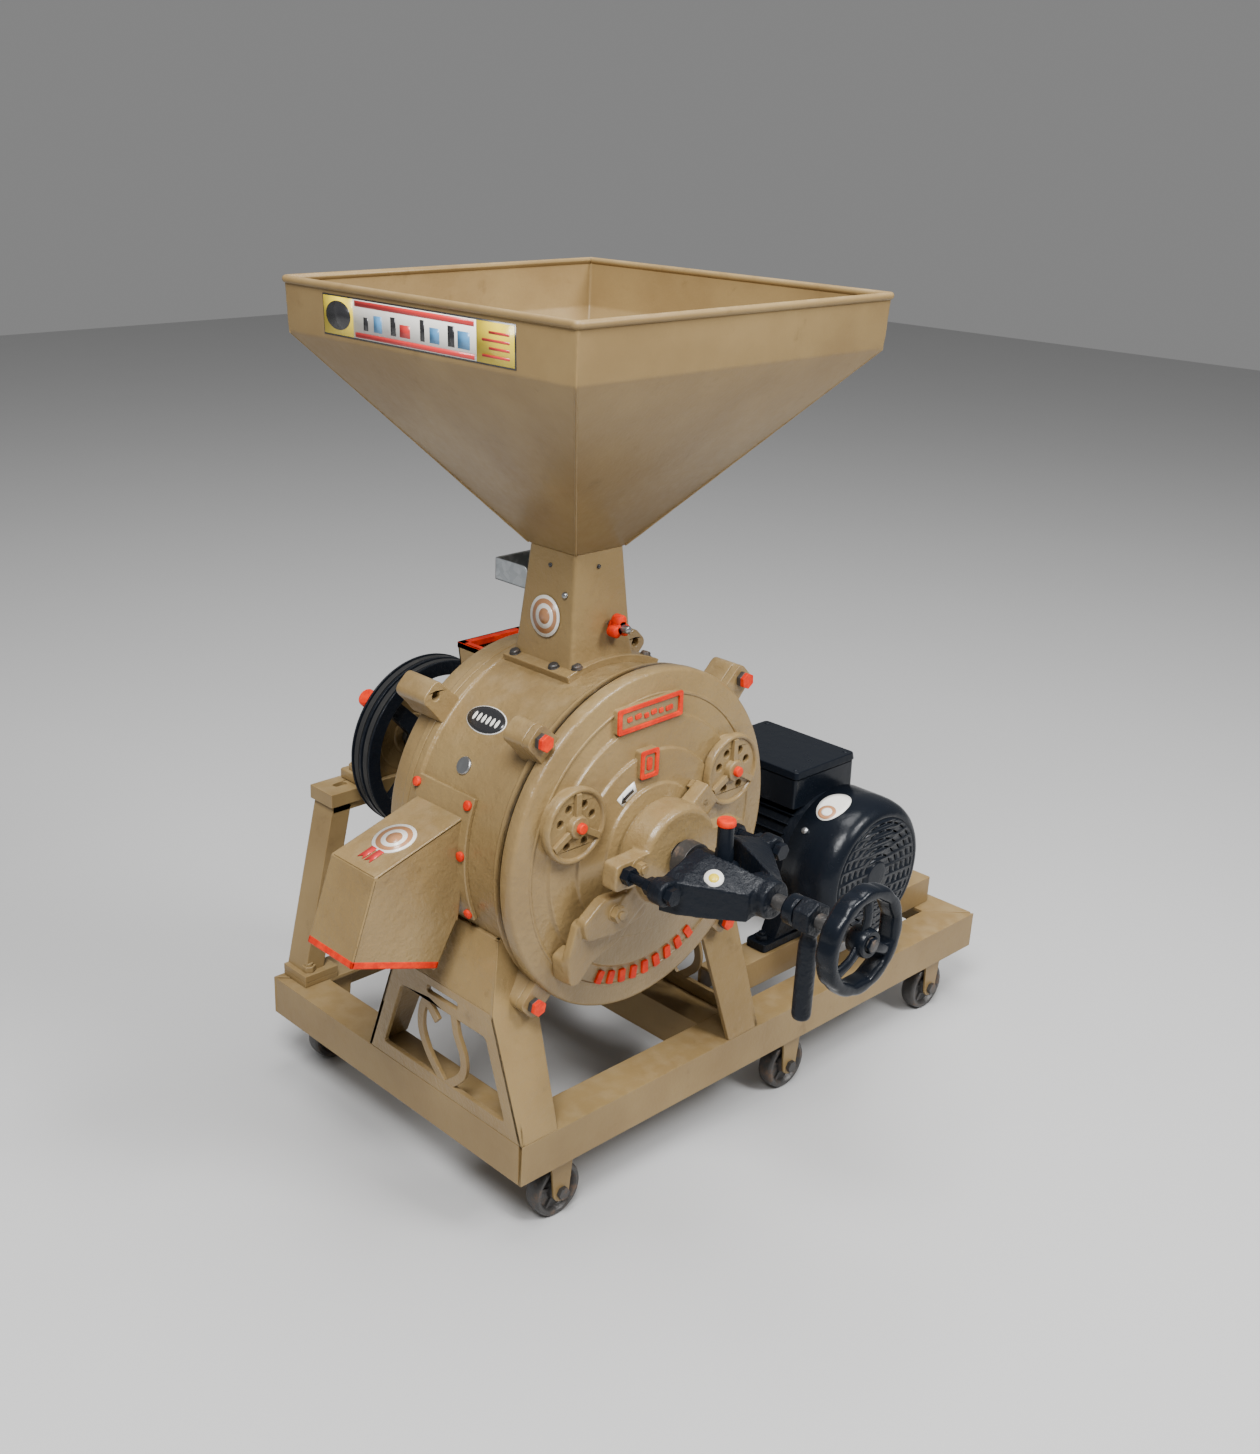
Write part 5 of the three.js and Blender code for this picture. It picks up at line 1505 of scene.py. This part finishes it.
def spout_rosette():
    """Printed rosette with two ribbon tails on the spout's sloping top."""
    head, brow = Vector(SPOUT_PROFILE[0]), Vector(SPOUT_PROFILE[1])
    run = (brow - head).normalized()
    out = Vector((run.y, 0, abs(run.x))).normalized()
    spot = head.lerp(brow, 0.58)
    place = Vector((spot.x, 196, spot.y)) + out * 0.4
    seal = round_sticker(place, out, 31)
    along = Vector((run.x, 0, run.y))
    seal.paint(CRIMSON)
    for shift in (-13, 2):
        ring = []
        for lift in (0, 0.9):
            start = place + along * 28 + out * lift + Vector((0, shift, 0))
            ring.append(
                [
                    start, start + along * 26, start + along * 20 + Vector((0, 5.5, 0)),
                    start + along * 26 + Vector((0, 11, 0)), start + Vector((0, 11, 0)),
                ]
            )
        seal.skin(ring)
    seal.made("spout_rosette", soft=0)


hopper()
hopper_label()
feed_neck()
round_sticker(Vector((-56.4, 189, 300)), (-1, 0, 0.09), 29).made("neck_seal", soft=0)
feed_gate()
feed_knob()
discharge_spout()
spout_rosette()


# ---- Motor ----


def motor_body():
    """Finned barrel between two end shields, on cast feet."""
    body = Shape(MOTOR).paint(BLACK_CAST)
    body.turned(
        [
            (17, 80), (104, 80), (108, 84), (108, 108), (100, 112), (100, 352), (108, 356), (108, 372),
            (98, 386), (60, 394), (40, 406), (17, 407),
        ],
        segments=96,
    )
    for i in range(40):
        degrees = i * 9 + 4.5
        if 52 < degrees < 128 or 238 < degrees < 302:
            continue
        c, s = on_circle(1, degrees)
        fin = [
            (98 * c + 1.6 * s, 98 * s - 1.6 * c), (112 * c + 1.1 * s, 112 * s - 1.1 * c),
            (112 * c - 1.1 * s, 112 * s + 1.1 * c), (98 * c - 1.6 * s, 98 * s + 1.6 * c),
        ]
        body.plate(fin, 104, 360)
    sole = 50 - 190 + 0.3
    for y in (108, 322):
        body.plate(eased(rectangle(-138, 138, y - 20, y + 20), 6), sole, sole + 14, "XY")
        body.tapered((-112, 112, y - 16, y + 16), (-80, 80, y - 16, y + 16), sole + 4, -62)
        for side in (-1, 1):
            hex_nut(body, (side * 122, y, sole + 14), (0, 0, 1), 19, 9, 6, 5)
    for degrees in (45, 135, 225, 315):
        x, z = on_circle(96, degrees)
        hex_nut(body, (x, 372, z), (0, 1, 0), 13, 9)
    body.made("motor_body", replaces="motor_body", soft=0.8, angle=30)


def fan_cover():
    """Pressed cowl over the fan, with rings of air slots in its face and screws round its skirt."""
    cover = Shape(MOTOR).paint(BLACK)
    cover.turned(
        [
            (98, -17), (104, -17.6), (110, -15), (116, -9), (120.5, 0),
            (123, 12), (124, 26), (124, 79.7), (121, 79.7), (121, 26),
            (120, 13), (117.5, 2), (113.5, -6), (108.5, -11.5), (103.5, -14), (98, -14),
        ],
        segments=128,
    )
    holes = []
    for radius, wide, count in ((36, 3, 12), (50, 3, 16), (64, 3, 20), (78, 3, 24), (91, 3, 28)):
        for i in range(count):
            middle_angle = 360 * i / count
            half = 360 / count * 0.34
            holes.append(
                [
                    *arc(radius + wide / 2, middle_angle - half, middle_angle + half, 3),
                    *arc(radius - wide / 2, middle_angle + half, middle_angle - half, 3),
                ]
            )
    cover.plate(ring_of(99, 96), -17.4, -14.6, "XZ", holes)
    cover.turned([(0, -15), (24, -15), (24, -17.8), (20, -18), (0, -18)], segments=64)
    cover.made("fan_cover", replaces="fan_cover", soft=0)
    screws = Shape(MOTOR).paint(STEEL)
    for degrees in (40, 140, 220, 320):
        c, s = on_circle(1, degrees)
        screws.turned([(0, -3), (6, -3), (5.6, 1.6), (3, 3), (0, 3.2)], (123 * c, 62, 123 * s), (c, 0, s), 32)
    screws.made("fan_cover_screws", soft=0)


def terminal_box():
    box = Shape(MOTOR).paint(BLACK)
    box.tapered((-78, 74, 100, 292), (-77, 73, 101, 291), 96, 146, 7)
    box.tapered((-79, 75, 99, 293), (-77, 73, 101, 291), 147.5, 160, 8)
    box.tapered((-74, 70, 104, 288), (-74, 70, 104, 288), 144, 150, 4)
    box.tapered((-60, 56, 116, 276), (-66, 62, 110, 282), 86, 100, 5)
    for x, y in ((-66, 112), (62, 112), (-66, 280), (62, 280)):
        box.turned([(0, 158), (5, 158), (4.5, 161), (0, 161.4)], (x, y, 0), (0, 0, 1), 24)
    box.turned([(0, 0), (13, 0), (13, 6), (11, 8), (11, 16), (8, 17), (0, 17)], (73, 250, 132), (1, 0, 0), 32)
    box.made("terminal_box", replaces="terminal_box", soft=1.5, angle=40)


motor_body()
fan_cover()
terminal_box()
motor_seal = Shape(MOTOR)
for seal_tone, seal_turn, seal_reach, seal_lift in (
    (WHITE, 34, 24, 0.6), (COPPER, 14, 15, 1.2), (WHITE, 8, 9, 1.8)
):
    motor_seal.paint(seal_tone)
    wrapped_oval(motor_seal, 124, 112 + (8 if seal_turn < 30 else 0), 46, seal_turn, seal_reach, seal_lift)
motor_seal.made("motor_seal", soft=0)


# ---- Frame solids that stay as they are ----

for node_name, material in (
    ("bed_stone", STONE), (
        "runner_stone", STONE
    ), ("runner_plate", IRON), ("rear_bearing", STEEL), ("motor_rotor", STEEL),
):
    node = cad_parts[node_name]
    node.data.materials.clear()
    node.data.materials.append(material)


# ---- Floor and light ----


ROOM_LIGHT = 0.24  # strength of the soft light from all round


def studio():
    floor_mesh = bpy.data.meshes.new("floor")
    bm = bmesh.new()
    bmesh.ops.create_grid(bm, x_segments=2, y_segments=2, size=9)
    bm.to_mesh(floor_mesh)
    bm.free()
    floor = bpy.data.objects.new("floor", floor_mesh)
    bpy.context.scene.collection.objects.link(floor)
    pale = Finish("pale_floor", (0.5, 0.5, 0.5), 0.85)
    pale.set(
        "Base Color",
        pale.blend(pale.noise(2, 2).steps(0.3, 0.8) * 0.15, (0.51, 0.51, 0.51), (0.48, 0.48, 0.48)),
    )
    floor_mesh.materials.append(pale.material)
    world = bpy.data.worlds.new("soft_room")
    world.use_nodes = True
    sky = world.node_tree.nodes["Background"]
    sky.inputs[0].default_value = (1, 1, 1, 1)
    sky.inputs[1].default_value = ROOM_LIGHT
    bpy.context.scene.world = world
    for name, place, size, power in (
        ("key_light", (-2.1, -1.3, 3.7), 1.5, 235), ("fill_light", (0.9, -2.8, 3.5), 1.3, 165),
        ("top_light", (0.1, 0.1, 4.2), 1.8, 110),
    ):
        data = bpy.data.lights.new(name, "AREA")
        data.size = size
        data.energy = power
        lamp = bpy.data.objects.new(name, data)
        lamp.location = place
        lamp.rotation_euler = (Vector((0, 0, 0.6)) - Vector(place)).to_track_quat("-Z", "Y").to_euler()
        bpy.context.scene.collection.objects.link(lamp)


studio()
